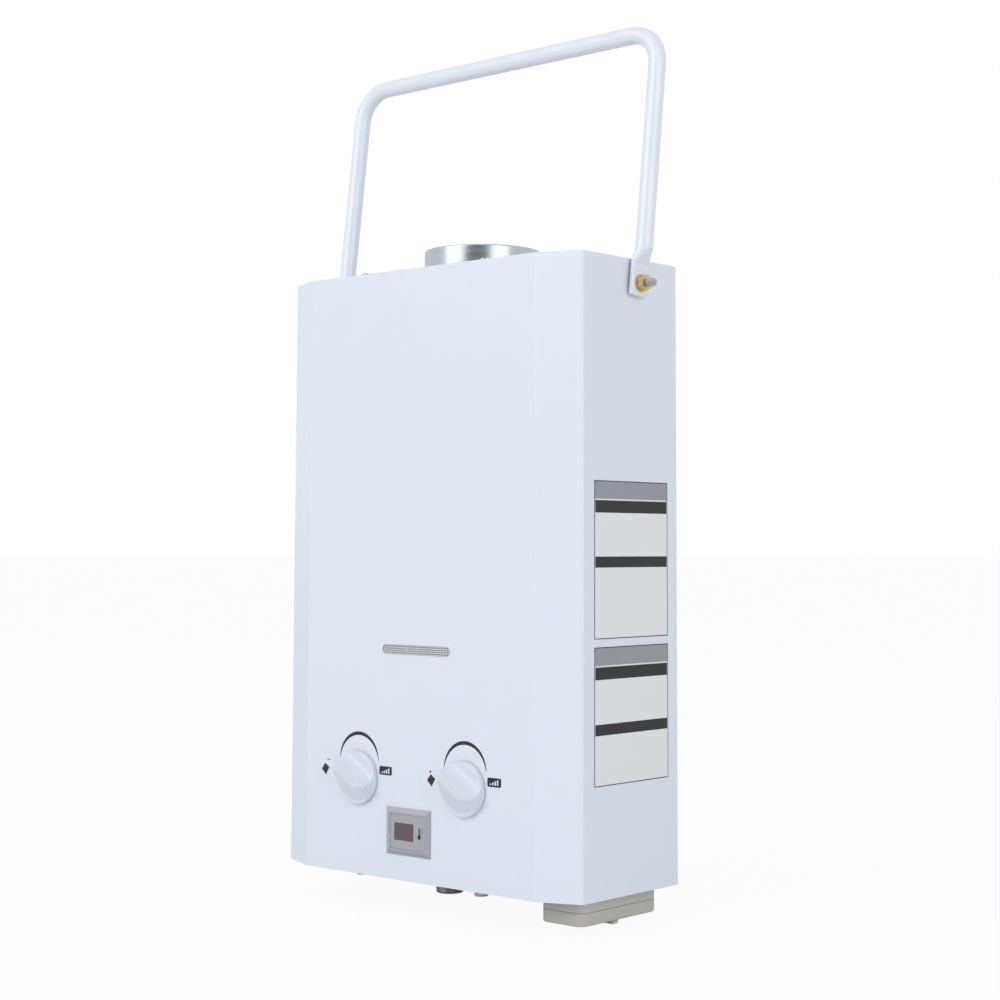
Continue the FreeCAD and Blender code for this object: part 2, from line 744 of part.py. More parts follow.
def draft_hood():
    """Tapered hood from the rectangular fin block to the round flue."""
    low = BOTTOM + SHELL_TOP + FIN_H
    high = BOTTOM + HOOD_TOP
    neck_r = FLUE_R - FLUE_WALL - NECK_GAP
    neck_top = PANEL_TOP + 4
    outer = hood_loft(CORE_W / 2 + CORE_WALL, CORE_D / 2 + CORE_WALL, neck_r, low, high)
    inner = hood_loft(CORE_W / 2, CORE_D / 2, neck_r - CORE_WALL, low, high)
    shell = outer.cut(inner)
    neck = tube(neck_r, neck_r - CORE_WALL, (0, FLUE_Y, high), (0, FLUE_Y, neck_top))
    half_w = CORE_W / 2 + HOOD_FLANGE
    half_d = CORE_D / 2 + HOOD_FLANGE
    flange = box(-half_w, half_w, FLUE_Y - half_d, FLUE_Y + half_d, low, low + CORE_WALL)
    hole = box(-CORE_W / 2, CORE_W / 2, CORE_FRONT, CORE_BACK, low - 1, low + CORE_WALL + 0.5)
    return shell.fuse([neck, flange.cut(hole)]).cut(inner).removeSplitter()


def hood_loft(half_w, half_d, radius, low, high):
    """Solid between a rounded rectangle and a circle of matching arcs."""
    corner = 8.0
    low_edges = []
    high_edges = []
    signs = ((1, 1), (-1, 1), (-1, -1), (1, -1))
    for i, (sx, sy) in enumerate(signs):
        cx = sx * (half_w - corner)
        cy = FLUE_Y + sy * (half_d - corner)
        arc = rounded_arc(cx, cy, low, corner, 90 * i)
        nx, ny = signs[(i + 1) % 4]
        end = V(nx * (half_w - corner), FLUE_Y + ny * (half_d - corner), low)
        reach = FreeCAD.Rotation(V(0, 0, 1), 90 * (i + 1)).multVec(V(corner, 0, 0))
        low_edges.append(arc)
        low_edges.append(Part.makeLine(arc.Vertexes[-1].Point, end + reach))
        high_edges.append(rounded_arc(0, FLUE_Y, high, radius, 90 * i + 0, 60))
        high_edges.append(rounded_arc(0, FLUE_Y, high, radius, 90 * i + 60, 30))
    return Part.makeLoft([Part.Wire(low_edges), Part.Wire(high_edges)], True, True)


def rounded_arc(cx, cy, z, radius, start, sweep_angle=90):
    """Arc in plan from one direction to another, in degrees."""
    points = []
    for share in (0, 0.5, 1):
        angle = math.radians(start + sweep_angle * share)
        points.append(V(cx + radius * math.cos(angle), cy + radius * math.sin(angle), z))
    return Part.Arc(*points).toShape()


def combustion_shell():
    """Copper jacket between the burner and the fins, open at both ends."""
    low = BOTTOM + SHELL_BOTTOM
    high = BOTTOM + SHELL_TOP
    half = CORE_W / 2 + CORE_WALL
    outer = box(-half, half, CORE_FRONT - CORE_WALL, CORE_BACK + CORE_WALL, low, high)
    inner = box(-CORE_W / 2, CORE_W / 2, CORE_FRONT, CORE_BACK, low - 1, high + 1)
    return outer.cut(inner)


def exchanger_tube_places():
    z = BOTTOM + SHELL_TOP + FIN_H / 2
    places = []
    for i in range(TUBE_COUNT):
        places.append((FLUE_Y + (i - (TUBE_COUNT - 1) / 2) * EX_TUBE_PITCH, z))
    return places


def exchanger_fins():
    """Fin block: thin upright plates threaded on the tubes, between two end plates."""
    low = BOTTOM + SHELL_TOP
    fins = []
    bores = []
    for y, z in exchanger_tube_places():
        bores.append(cyl(EX_TUBE_R, (-CORE_W, y, z), (CORE_W, y, z)))
    for i in range(FIN_COUNT):
        x = (i - (FIN_COUNT - 1) / 2) * FIN_PITCH
        fin = box(x - FIN_T / 2, x + FIN_T / 2, CORE_FRONT + 1, CORE_BACK - 1, low, low + FIN_H)
        fins.append(fin.cut(bores))
    return fins


def exchanger_case():
    """Frame round the fins, which carries the tube ends and stands on the jacket."""
    low = BOTTOM + SHELL_TOP
    high = low + FIN_H
    half = CORE_W / 2 + CORE_WALL
    outer = box(-half, half, CORE_FRONT - CORE_WALL, CORE_BACK + CORE_WALL, low, high)
    inner = box(-CORE_W / 2, CORE_W / 2, CORE_FRONT, CORE_BACK, low - 1, high + 1)
    bores = [cyl(EX_TUBE_R, (-CORE_W, y, z), (CORE_W, y, z)) for y, z in exchanger_tube_places()]
    return outer.cut([inner] + bores)


def exchanger_tubes():
    """One serpentine pipe: three passes through the fins joined by return bends."""
    reach = CORE_W / 2 + CORE_WALL + EX_TUBE_PITCH / 2 + 4
    places = exchanger_tube_places()
    z = places[0][1]
    ys = [y for y, _ in places]
    points = [
        (reach + 6, ys[0], z), (-reach, ys[0], z), (-reach, ys[1], z), (reach, ys[1], z),
        (reach, ys[2], z), (-reach - 6, ys[2], z),
    ]
    return pipe(points, EX_TUBE_R, EX_TUBE_R - EX_TUBE_WALL, EX_TUBE_PITCH / 2 - 0.01)


def riser_x():
    return CORE_W / 2 + CORE_WALL + EX_TUBE_PITCH / 2 + 10


def cold_pipe():
    """From the water valve's right end up the right side to the first exchanger pass."""
    exit_y, exit_z = exchanger_tube_places()[0]
    x = riser_x() + PIPE_BEND_R
    side_x = CORE_W / 2 + CORE_WALL + FRAME_LUG + PIPE_R + 1
    low = VALVE_Z + 42
    points = [
        (WATER_BODY_RIGHT, VALVE_Y, VALVE_Z), (side_x, VALVE_Y, VALVE_Z), (side_x, VALVE_Y, low),
        (x, exit_y, low + 45), (x, exit_y, exit_z), (riser_x(), exit_y, exit_z),
    ]
    return pipe(points, PIPE_R, PIPE_R - PIPE_WALL, PIPE_BEND_R).fuse(tube_socket(1, 0))


def hot_pipe():
    """From the last exchanger pass down the left side to the hot outlet."""
    exit_y, exit_z = exchanger_tube_places()[-1]
    x = -riser_x() - PIPE_BEND_R
    foot = PANEL_BOTTOM + SHEET + STUB_FLANGE_T
    points = [
        (HOT_STUB_X, STUB_Y, foot), (HOT_STUB_X, STUB_Y, foot + 60), (x, exit_y, foot + 110),
        (x, exit_y, exit_z), (-riser_x(), exit_y, exit_z),
    ]
    return pipe(points, PIPE_R, PIPE_R - PIPE_WALL, PIPE_BEND_R).fuse(tube_socket(-1, -1))


def tube_socket(side, pass_index):
    """Brazed socket where a pipe meets the end of an exchanger tube."""
    y, z = exchanger_tube_places()[pass_index]
    x = side * riser_x()
    return tube(EX_TUBE_R, PIPE_R - PIPE_WALL, (x, y, z), (x + side * SOCKET_L, y, z))


def burner_bars():
    """Pressed burner bars, each with a ported ridge on top and a mixing mouth at the front."""
    top = BOTTOM + BURNER_TOP
    low = top - BURNER_H
    mouth_z = top - MOUTH_BELOW_TOP
    bars = []
    for x in bar_places():
        y0 = FLUE_Y - BAR_D / 2
        y1 = FLUE_Y + BAR_D / 2
        outline = [V(x, y0, low + 4), V(x, y1, low + 16), V(x, y1, top - 3), V(x, y0, top - 3)]
        blade = Part.Face(Part.makePolygon(outline + [outline[0]])).extrude(V(BAR_W, 0, 0))
        blade.translate(V(-BAR_W / 2, 0, 0))
        ridge = box(x - BAR_W / 4, x + BAR_W / 4, y0 + 2, y1 - 2, top - 3, top)
        mouth_front = V(x, y0 - MOUTH_LENGTH, mouth_z)
        mouth = Part.makeCone(MOUTH_R, MOUTH_R - 1.4, MOUTH_LENGTH, mouth_front, V(0, 1, 0))
        throat = Part.makeCone(MOUTH_R - 0.8, MOUTH_R - 2.4, MOUTH_LENGTH + 8, mouth_front, V(0, 1, 0))
        bars.append(blade.fuse([ridge, mouth]).cut(throat).removeSplitter())
    return bars


def bar_places():
    return [(i - (BAR_COUNT - 1) / 2) * BAR_PITCH for i in range(BAR_COUNT)]


def burner_frame():
    """Side cheeks and rails that hold the bars and carry the jacket, hung on the back plate."""
    half = CORE_W / 2 + CORE_WALL
    low = BOTTOM + BURNER_TOP - BURNER_H
    high = BOTTOM + SHELL_BOTTOM
    y0 = CORE_FRONT - CORE_WALL
    y1 = CORE_BACK + CORE_WALL
    pieces = []
    for side in (-1, 1):
        a = side * half
        b = side * (half - CORE_WALL)
        pieces.append(box(min(a, b), max(a, b), y0, y1, low, high))
        lug = side * (half + FRAME_LUG)
        pieces.append(box(min(a, lug), max(a, lug), BACK - 2 * SHEET, BACK - SHEET, low, high))
        pieces.append(box(min(a, b), max(a, b), y1, BACK - SHEET, low, high))
    rail_z = low + 16
    pieces.append(box(-half, half, FLUE_Y + BAR_D / 2, FLUE_Y + BAR_D / 2 + CORE_WALL, rail_z, high - 18))
    front_rail = box(-half, half, FLUE_Y - BAR_D / 2 - CORE_WALL, FLUE_Y - BAR_D / 2, low + 4, high - 18)
    mouth_z = BOTTOM + BURNER_TOP - MOUTH_BELOW_TOP
    mouths = [cyl(MOUTH_R + 0.4, (x, y0 - 20, mouth_z), (x, y0 + 20, mouth_z)) for x in bar_places()]
    pieces.append(front_rail.cut(mouths))
    return pieces[0].fuse(pieces[1:]).removeSplitter()


def manifold_y():
    mouth = FLUE_Y - BAR_D / 2 - MOUTH_LENGTH
    return mouth - JET_GAP - JET_L - MANIFOLD_SIDE / 2


def gas_manifold():
    """Square rail that feeds the jets, with its inlet boss underneath."""
    y = manifold_y()
    z = BOTTOM + BURNER_TOP - MOUTH_BELOW_TOP
    half = MANIFOLD_SIDE / 2
    rail = box(-MANIFOLD_L / 2, MANIFOLD_L / 2, y - half, y + half, z - half, z + half)
    edges = [e for e in rail.Edges if abs(e.tangentAt(e.FirstParameter).x) > 0.9]
    rail = rail.makeFillet(1.5, edges)
    bores = [cyl(JET_TIP_R, (x, y, z), (x, y + half + 1, z)) for x in bar_places()]
    boss = cyl(MANIFOLD_SIDE * 0.6, (GAS_FEED_X, y, z - half - 4), (GAS_FEED_X, y, z - half + 1))
    arms = []
    for side in (-1, 1):
        inner = side * (MANIFOLD_L / 2 - 1)
        outer = side * (CORE_W / 2 + CORE_WALL)
        arms.append(box(min(inner, outer), max(inner, outer), y - 2, y + 2, z - 4, z + 4))
        leg = side * (CORE_W / 2)
        arms.append(box(min(leg, outer), max(leg, outer), y - 2, CORE_FRONT - CORE_WALL, z - 4, z + 4))
    return rail.fuse([boss] + arms).cut(bores).removeSplitter()




def injectors():
    """Brass jets screwed into the manifold, one facing each burner mouth."""
    y = manifold_y() + MANIFOLD_SIDE / 2
    z = BOTTOM + BURNER_TOP - MOUTH_BELOW_TOP
    jets = []
    for x in bar_places():
        body = cyl(JET_AF_R, (x, y, z), (x, y + JET_L * 0.6, z))
        tip = cyl(JET_TIP_R, (x, y - 3, z), (x, y + JET_L, z))
        jets.append(body.fuse(tip).removeSplitter())
    return jets


def gas_feed():
    """Short pipe from the gas valve up to the manifold."""
    y = manifold_y()
    z = BOTTOM + BURNER_TOP - MOUTH_BELOW_TOP - MANIFOLD_SIDE / 2 - 4
    low = VALVE_Z + GAS_BODY_H / 2
    start_y = VALVE_Y - 4
    middle = (low + z) / 2
    points = [
        (GAS_FEED_X, start_y, low), (GAS_FEED_X, start_y, middle), (GAS_FEED_X, y, middle),
        (GAS_FEED_X, y, z),
    ]
    return points


# Valves

def gas_valve_body():
    """Die-cast body with a stepped bore along X, a plug bore at the front and the gas inlet."""
    z = VALVE_Z
    half_h = GAS_BODY_H / 2
    half_d = GAS_BODY_D / 2
    block = box(GAS_BODY_LEFT, GAS_BODY_RIGHT, VALVE_Y - half_d, VALVE_Y + half_d, z - half_h, z + half_h)
    edges = [e for e in block.Edges if abs(e.tangentAt(e.FirstParameter).x) > 0.9]
    block = block.makeFillet(4.0, edges)
    boss_front = FRONT + SHEET + 4
    bush = cyl(SPINDLE_BUSH_R + 2.5, (GAS_KNOB_X, boss_front, KNOB_Z), (GAS_KNOB_X, VALVE_Y, KNOB_Z))
    column = box(
        GAS_STUB_X - 13, GAS_STUB_X + 10, GAS_STUB_Y - 13, GAS_STUB_Y + 13,
        PANEL_BOTTOM + SHEET + STUB_FLANGE_T, z,
    )
    solid = block.fuse([bush, column])
    chambers = []
    edges_x = [GAS_BODY_LEFT - 1, SAFETY_SEAT_X, SAFETY_SEAT_X + SEAT_WEB, GAS_SEAT_X, GAS_SEAT_X + SEAT_WEB]
    edges_x.append(GAS_BODY_RIGHT - END_WALL)
    for left, right in zip(edges_x[0::2], edges_x[1::2]):
        chambers.append(cyl(GAS_BORE_R, (left, VALVE_Y, z), (right, VALVE_Y, z)))
    port = cyl(PORT_R, (SAFETY_SEAT_X - 1, VALVE_Y, z), (GAS_SEAT_X + SEAT_WEB + 1, VALVE_Y, z))
    rod_bore = cyl(
        ROD_R + ROD_FIT, (GAS_BODY_RIGHT - END_WALL - 1, VALVE_Y, z), (GAS_BODY_RIGHT + 1, VALVE_Y, z),
    )
    body_front = VALVE_Y - half_d
    plug_bore = cyl(
        PLUG_R + SPINDLE_FIT, (GAS_KNOB_X, body_front + 4, KNOB_Z), (GAS_KNOB_X, PLUG_BACK, KNOB_Z),
    )
    shaft_bore = cyl(
        SPINDLE_R + SPINDLE_FIT, (GAS_KNOB_X, boss_front - 1, KNOB_Z), (GAS_KNOB_X, body_front + 5, KNOB_Z),
    )
    return solid.cut(chambers + [port, rod_bore, plug_bore, shaft_bore]).removeSplitter()


PLUG_BACK = VALVE_Y - GAS_BODY_D / 2 + 9


def gas_solenoid():
    """Coil can screwed to the left end of the gas valve, bored for its plunger."""
    left = GAS_BODY_LEFT - SOLENOID_L
    can = cyl(SOLENOID_R, (left, VALVE_Y, VALVE_Z), (GAS_BODY_LEFT, VALVE_Y, VALVE_Z))
    spigot = cyl(
        GAS_BORE_R - 0.2, (GAS_BODY_LEFT, VALVE_Y, VALVE_Z), (GAS_BODY_LEFT + SPIGOT_L, VALVE_Y, VALVE_Z),
    )
    bore = cyl(
        PLUNGER_R + ROD_FIT, (left + 6, VALVE_Y, VALVE_Z), (GAS_BODY_LEFT + SPIGOT_L + 1, VALVE_Y, VALVE_Z),
    )
    return can.fuse(spigot).cut(bore).removeSplitter()


def solenoid_plunger():
    """Plunger with the safety disc that shuts the gas port when the coil is dead."""
    seat = SAFETY_SEAT_X - DISC_LIFT
    left = GAS_BODY_LEFT - SOLENOID_L + 6 + PLUNGER_TRAVEL + 1
    rod = cyl(PLUNGER_R, (left, VALVE_Y, VALVE_Z), (seat - DISC_T, VALVE_Y, VALVE_Z))
    disc = cyl(DISC_R, (seat - DISC_T, VALVE_Y, VALVE_Z), (seat, VALVE_Y, VALVE_Z))
    return rod.fuse(disc).removeSplitter()


def push_rod():
    """Rod that carries water pressure on the diaphragm to the gas disc, with a collar for the switch."""
    seat = GAS_SEAT_X - DISC_LIFT
    plate_left = diaphragm_x() - THRUST_T - 0.05
    rod = cyl(ROD_R, (seat - DISC_T, VALVE_Y, VALVE_Z), (plate_left, VALVE_Y, VALVE_Z))
    disc = cyl(DISC_R, (seat - DISC_T, VALVE_Y, VALVE_Z), (seat, VALVE_Y, VALVE_Z))
    plate = cyl(THRUST_R, (plate_left, VALVE_Y, VALVE_Z), (plate_left + THRUST_T, VALVE_Y, VALVE_Z))
    collar = cyl(COLLAR_R, (collar_x(), VALVE_Y, VALVE_Z), (collar_x() + COLLAR_T, VALVE_Y, VALVE_Z))
    return rod.fuse([disc, plate, collar]).removeSplitter()


def collar_x():
    return (GAS_BODY_RIGHT + COVER_LEFT) / 2 + COLLAR_RIGHT_OF_GAP


def diaphragm_x():
    return COVER_LEFT + COVER_T


def rod_spring():
    """Spring that holds the gas disc on its seat, as a plain sleeve."""
    disc_left = GAS_SEAT_X - DISC_LIFT - DISC_T
    return tube(
        SPRING_R, SPRING_R - SPRING_WIRE, (SAFETY_SEAT_X + SEAT_WEB, VALVE_Y, VALVE_Z),
        (disc_left, VALVE_Y, VALVE_Z),
    )


def plunger_spring():
    """Spring between the coil's spigot and the safety disc, as a plain sleeve."""
    disc_left = SAFETY_SEAT_X - DISC_LIFT - DISC_T
    return tube(
        SPRING_R, SPRING_R - SPRING_WIRE, (GAS_BODY_LEFT + SPIGOT_L, VALVE_Y, VALVE_Z),
        (disc_left, VALVE_Y, VALVE_Z),
    )


def diaphragm():
    """Rubber disc clamped between the two housing halves."""
    x = diaphragm_x()
    return cyl(DIAPHRAGM_R, (x, VALVE_Y, VALVE_Z), (x + DIAPHRAGM_T, VALVE_Y, VALVE_Z))


def valve_screw_places():
    ring = (DIAPHRAGM_R + HOUSING_R) / 2 + 2.5
    places = []
    for i in range(VALVE_SCREW_COUNT):
        angle = math.radians(30 + 60 * i)
        places.append((VALVE_Y + ring * math.cos(angle), VALVE_Z + ring * math.sin(angle)))
    return places


def housing_disc(x0, x1):
    """Round flange with six screw ears."""
    disc = cyl(HOUSING_R, (x0, VALVE_Y, VALVE_Z), (x1, VALVE_Y, VALVE_Z))
    ears = [cyl(VALVE_SCREW_R + 2.2, (x0, y, z), (x1, y, z)) for y, z in valve_screw_places()]
    return disc.fuse(ears).removeSplitter()


def diaphragm_cover():
    """Left half of the diaphragm housing, joined to the gas valve by a neck round the push rod."""
    x1 = diaphragm_x()
    solid = housing_disc(COVER_LEFT, x1)
    hollow = cyl(
        THRUST_R + 4, (x1 - THRUST_T - ROD_TRAVEL - 1, VALVE_Y, VALVE_Z), (x1 + 1, VALVE_Y, VALVE_Z),
    )
    rod_bore = cyl(ROD_R + ROD_FIT, (COVER_LEFT - 1, VALVE_Y, VALVE_Z), (x1, VALVE_Y, VALVE_Z))
    struts = []
    for z in (VALVE_Z - STRUT_Z, VALVE_Z + STRUT_Z):
        struts.append(
            box(GAS_BODY_RIGHT, COVER_LEFT, VALVE_Y - STRUT_HALF, VALVE_Y + STRUT_HALF, z - 2, z + 2),
        )
    holes = [cyl(VALVE_SCREW_R, (COVER_LEFT - 1, y, z), (x1 + 1, y, z)) for y, z in valve_screw_places()]
    return solid.fuse(struts).cut([hollow, rod_bore] + holes).removeSplitter()


def water_valve_body():
    """Right half of the housing with the water knob's bush, the cold inlet column and the outlet."""
    x0 = diaphragm_x()
    flange = housing_disc(x0, x0 + 10)
    z = VALVE_Z
    half_h = WATER_BODY_H / 2
    half_d = WATER_BODY_D / 2
    block = box(x0 + 5, WATER_BODY_RIGHT, VALVE_Y - half_d, VALVE_Y + half_d, z - half_h, z + half_h)
    edges = [e for e in block.Edges if abs(e.tangentAt(e.FirstParameter).x) > 0.9]
    block = block.makeFillet(4.0, edges)
    boss_front = FRONT + SHEET + 4
    bush = cyl(SPINDLE_BUSH_R + 2.5, (WATER_KNOB_X, boss_front, KNOB_Z), (WATER_KNOB_X, VALVE_Y, KNOB_Z))
    low = PANEL_BOTTOM + SHEET + STUB_FLANGE_T
    column = box(COLD_STUB_X - COLUMN_HALF, COLD_STUB_X + COLUMN_HALF, VALVE_Y, STUB_Y + COLUMN_HALF, low, z)
    gallery = box(
        DRAIN_X - DRAIN_BODY_R, COLD_STUB_X - COLUMN_HALF + 1, DRAIN_Y - DRAIN_BODY_R,
        DRAIN_Y + DRAIN_BODY_R,
        gallery_z(), gallery_z() + GALLERY_H)
    solid = flange.fuse([block, bush, column, gallery])
    seat = cyl(DIAPHRAGM_R, (x0 - 1, VALVE_Y, z), (x0 + DIAPHRAGM_T, VALVE_Y, z))
    chamber = cyl(THRUST_R + 4, (x0, VALVE_Y, z), (x0 + 7, VALVE_Y, z))
    body_front = VALVE_Y - GAS_BODY_D / 2
    plug_bore = cyl(
        PLUG_R + SPINDLE_FIT, (WATER_KNOB_X, body_front + 4, KNOB_Z), (WATER_KNOB_X, PLUG_BACK, KNOB_Z),
    )
    shaft_bore = cyl(
        SPINDLE_R + SPINDLE_FIT, (WATER_KNOB_X, boss_front - 1, KNOB_Z),
        (WATER_KNOB_X, body_front + 5, KNOB_Z),
    )
    holes = [cyl(VALVE_SCREW_R, (x0 - 1, y, zz), (x0 + 11, y, zz)) for y, zz in valve_screw_places()]
    return solid.cut([seat, chamber, plug_bore, shaft_bore] + holes).removeSplitter()


def valve_screws():
    """Screws through the ears of the diaphragm housing."""
    left = COVER_LEFT
    right = diaphragm_x() + 10
    screws = []
    for y, z in valve_screw_places():
        shank = cyl(VALVE_SCREW_R, (left, y, z), (right, y, z))
        head = cyl(VALVE_SCREW_R * 1.8, (left - 2, y, z), (left, y, z))
        screws.append(shank.fuse(head).removeSplitter())
    return screws


def lever_axis():
    """Centre of the lever's pin, as X and Z."""
    return COVER_LEFT - SWITCH_W - LEVER_GAP - LEVER_EYE_R, VALVE_Z + SWITCH_RISE + SWITCH_H / 2 - 1


def micro_switch():
    """Switch that starts the spark, on the diaphragm cover, with two ears that hold the lever's pin."""
    z = VALVE_Z + SWITCH_RISE
    y0 = VALVE_Y - SWITCH_D
    left = COVER_LEFT - SWITCH_W
    body = box(left, COVER_LEFT, y0, VALVE_Y - STRUT_HALF - 0.3, z - SWITCH_H / 2, z + SWITCH_H / 2)
    pin_x, pin_z = lever_axis()
    pieces = []
    for y in lever_ears():
        ear = box(pin_x, left, y, y + LEVER_EAR_T, pin_z - LEVER_EYE_R, pin_z + LEVER_EYE_R)
        pieces.append(ear.fuse(cyl(LEVER_EYE_R, (pin_x, y, pin_z), (pin_x, y + LEVER_EAR_T, pin_z))))
    ears = lever_ears()
    pieces.append(cyl(LEVER_PIN_R, (pin_x, ears[0], pin_z), (pin_x, ears[1] + LEVER_EAR_T, pin_z)))
    return body.fuse(pieces).removeSplitter()


def lever_ears():
    """Front and back ear, where each starts along Y."""
    back = VALVE_Y - STRUT_HALF - 0.6 - LEVER_EAR_T
    return [back - LEVER_W - 2 * LEVER_GAP - LEVER_EAR_T, back]


def switch_lever():
    """Leaf with a rolled eye, hanging beside the switch with its foot against the rod's collar."""
    pin_x, pin_z = lever_axis()
    y0 = lever_ears()[0] + LEVER_EAR_T + LEVER_GAP
    y1 = y0 + LEVER_W
    right = pin_x + LEVER_EYE_R
    low = VALVE_Z + ROD_R + 0.6
    leaf = box(right - LEVER_T, right, y0, y1, low, pin_z)
    foot = box(right - LEVER_T, right, y1, VALVE_Y - 1, low, VALVE_Z + STRUT_Z - STRUT_HALF - 1)
    eye = cyl(LEVER_EYE_R, (pin_x, y0, pin_z), (pin_x, y1, pin_z))
    bore = cyl(LEVER_PIN_R + ROD_FIT, (pin_x, y0 - 1, pin_z), (pin_x, y1 + 1, pin_z))
    return leaf.fuse([foot, eye]).cut(bore).removeSplitter()


# Fittings underneath

def stub(x, y, drop):
    """Threaded fitting with a neck through the bottom panel and a flange on top of the panel."""
    seat = PANEL_BOTTOM + SHEET
    top = seat + STUB_FLANGE_T
    low = BOTTOM - drop
    flange = cyl(STUB_FLANGE_R, (x, y, seat), (x, y, top))
    neck = cyl(STUB_NECK_R, (x, y, BOTTOM), (x, y, seat))
    shank = cyl(THREAD_R, (x, y, low), (x, y, BOTTOM))
    ring = [e for e in shank.Edges if abs(e.CenterOfMass.z - low) < 0.01]
    shank = shank.makeChamfer(STUB_CHAMFER, ring)
    bore = cyl(THREAD_BORE_R, (x, y, low - 1), (x, y, top - 2))
    return flange.fuse([neck, shank]).cut(bore).removeSplitter()


def gallery_z():
    """Underside of the arm that joins the relief valve to the water valve."""
    return PANEL_BOTTOM + SHEET + STUB_FLANGE_T + GALLERY_RISE


def drain_body():
    """Relief valve body beside the cold inlet."""
    low = BOTTOM - 2
    body = cyl(DRAIN_BODY_R, (DRAIN_X, DRAIN_Y, low), (DRAIN_X, DRAIN_Y, gallery_z()))
    return body.cut(cyl(DRAIN_SCREW_R, (DRAIN_X, DRAIN_Y, low - 1), (DRAIN_X, DRAIN_Y, low + 8)))


def drain_screw():
    """White cap that closes the relief valve and drains the heater against frost."""
    low = BOTTOM - DRAIN_DROP
    cap = cyl(DRAIN_R, (DRAIN_X, DRAIN_Y, low), (DRAIN_X, DRAIN_Y, BOTTOM - 2))
    shank = cyl(DRAIN_SCREW_R - 0.05, (DRAIN_X, DRAIN_Y, BOTTOM - 2), (DRAIN_X, DRAIN_Y, BOTTOM + 5))
    return cap.fuse(shank).removeSplitter()


# Battery box

def battery_outline(grow, z0, z1):
    """Plan outline of the battery box, grown or shrunk."""
    half = BOX_W / 2 + grow
    y0 = FRONT + BOX_FROM_FRONT - grow
    y1 = FRONT + BOX_FROM_FRONT + BOX_L + grow
    return upright_fillet(box(BOX_X - half, BOX_X + half, y0, y1, z0, z1), BOX_CORNER_R + grow)


def cell_places():
    middle = FRONT + BOX_FROM_FRONT + BOX_L / 2
    step = CELL_R + CELL_GAP
    return [(BOX_X, middle - step), (BOX_X, middle + step)]


def lid_floor_z():
    return BOTTOM - BOX_DROP + LID_FLOOR


def cell_bottom_z():
    return lid_floor_z() + 4.0


def battery_housing():
    """Open-bottomed tray for two upright cells, with a ledge that rests on the bottom panel."""
    seam = BOTTOM - BOX_SEAM_DROP
    top = cell_bottom_z() + CELL_H + CELL_NUB_H + CONTACT_T + BOX_WALL + 0.3
    shell = battery_outline(0, seam, top)
    inside = battery_outline(-BOX_WALL, seam - 1, top - BOX_WALL)
    ledge_z = PANEL_BOTTOM + SHEET
    ledge = battery_outline(3.0, ledge_z, ledge_z + 1.6).cut(battery_outline(-0.5, ledge_z - 1, ledge_z + 3))
    return shell.cut(inside).fuse(ledge).removeSplitter()


def battery_lid():
    """Lid with a rim, which swings down on its left edge and has a finger catch on the right."""
    seam = BOTTOM - BOX_SEAM_DROP - LID_GAP
    low = BOTTOM - BOX_DROP
    shell = battery_outline(0, low, seam)
    bottom_edges = [e for e in shell.Edges if abs(e.BoundBox.ZMax - low) < 0.01]
    shell = shell.makeFillet(1.2, bottom_edges)
    shell = shell.cut(battery_outline(-BOX_WALL, lid_floor_z(), seam + 1))
    middle = FRONT + BOX_FROM_FRONT + BOX_L * 0.45
    right = BOX_X + BOX_W / 2
    catch = box(right - LATCH_W, right - 1.5, middle - 3, middle + 3, low - LATCH_PROUD, low + 0.5)
    return shell.fuse(catch).removeSplitter()


def battery_cells():
    cells = []
    low = cell_bottom_z()
    for index, (x, y) in enumerate(cell_places()):
        can = cyl(CELL_R, (x, y, low), (x, y, low + CELL_H))
        nub_low = low + CELL_H if index == 0 else low - CELL_NUB_H
        nub = cyl(CELL_NUB_R, (x, y, nub_low), (x, y, nub_low + CELL_NUB_H))
        cells.append(can.fuse(nub).removeSplitter())
    return cells


def cell_contacts():
    """Top contact plates in the housing, one for each cell."""
    plates = []
    top = cell_bottom_z() + CELL_H + CELL_NUB_H + 0.1
    for x, y in cell_places():
        plates.append(box(x - 6, x + 6, y - 6, y + 6, top, top + CONTACT_T + 0.1))
    return plates


def lid_strip():
    """Sprung strip in the lid that joins the two cells."""
    floor = lid_floor_z()
    y0 = cell_places()[0][1]
    y1 = cell_places()[1][1]
    strip = box(BOX_X - 5, BOX_X + 5, y0 - 6, y1 + 6, floor, floor + CONTACT_T)
    rise = cell_bottom_z() - CELL_NUB_H - 0.3
    bumps = []
    for y, high in ((y0, cell_bottom_z() - 0.3), (y1, rise)):
        points = [
            V(BOX_X - 5, y - 5, floor), V(BOX_X - 5, y, high), V(BOX_X - 5, y + 5, floor),
            V(BOX_X - 5, y - 5, floor),
        ]
        bumps.append(Part.Face(Part.makePolygon(points)).extrude(V(10, 0, 0)))
    return strip.fuse(bumps).removeSplitter()


# Ignition and safety

def igniter_box():
    """Spark controller on the back plate, at the lower left."""
    x = -HALF + SHEET + SEAM + SHEET + 1
    y1 = BACK - SHEET
    z = BOTTOM + IGNITER_RISE
    solid = box(x, x + IGNITER_D, y1 - IGNITER_W, y1, z, z + IGNITER_H)
    return solid


def probe(x):
    """Ceramic electrode with a bent wire tip over the burner."""
    z = BOTTOM + BURNER_TOP + 8
    y0 = CORE_FRONT - 16
    rod = cyl(PROBE_R, (x, y0, z), (x, y0 + PROBE_L, z))
    tip = cyl(PROBE_TIP_R, (x, y0, z), (x, y0 + PROBE_L + 14, z))
    return rod.fuse(tip).removeSplitter()


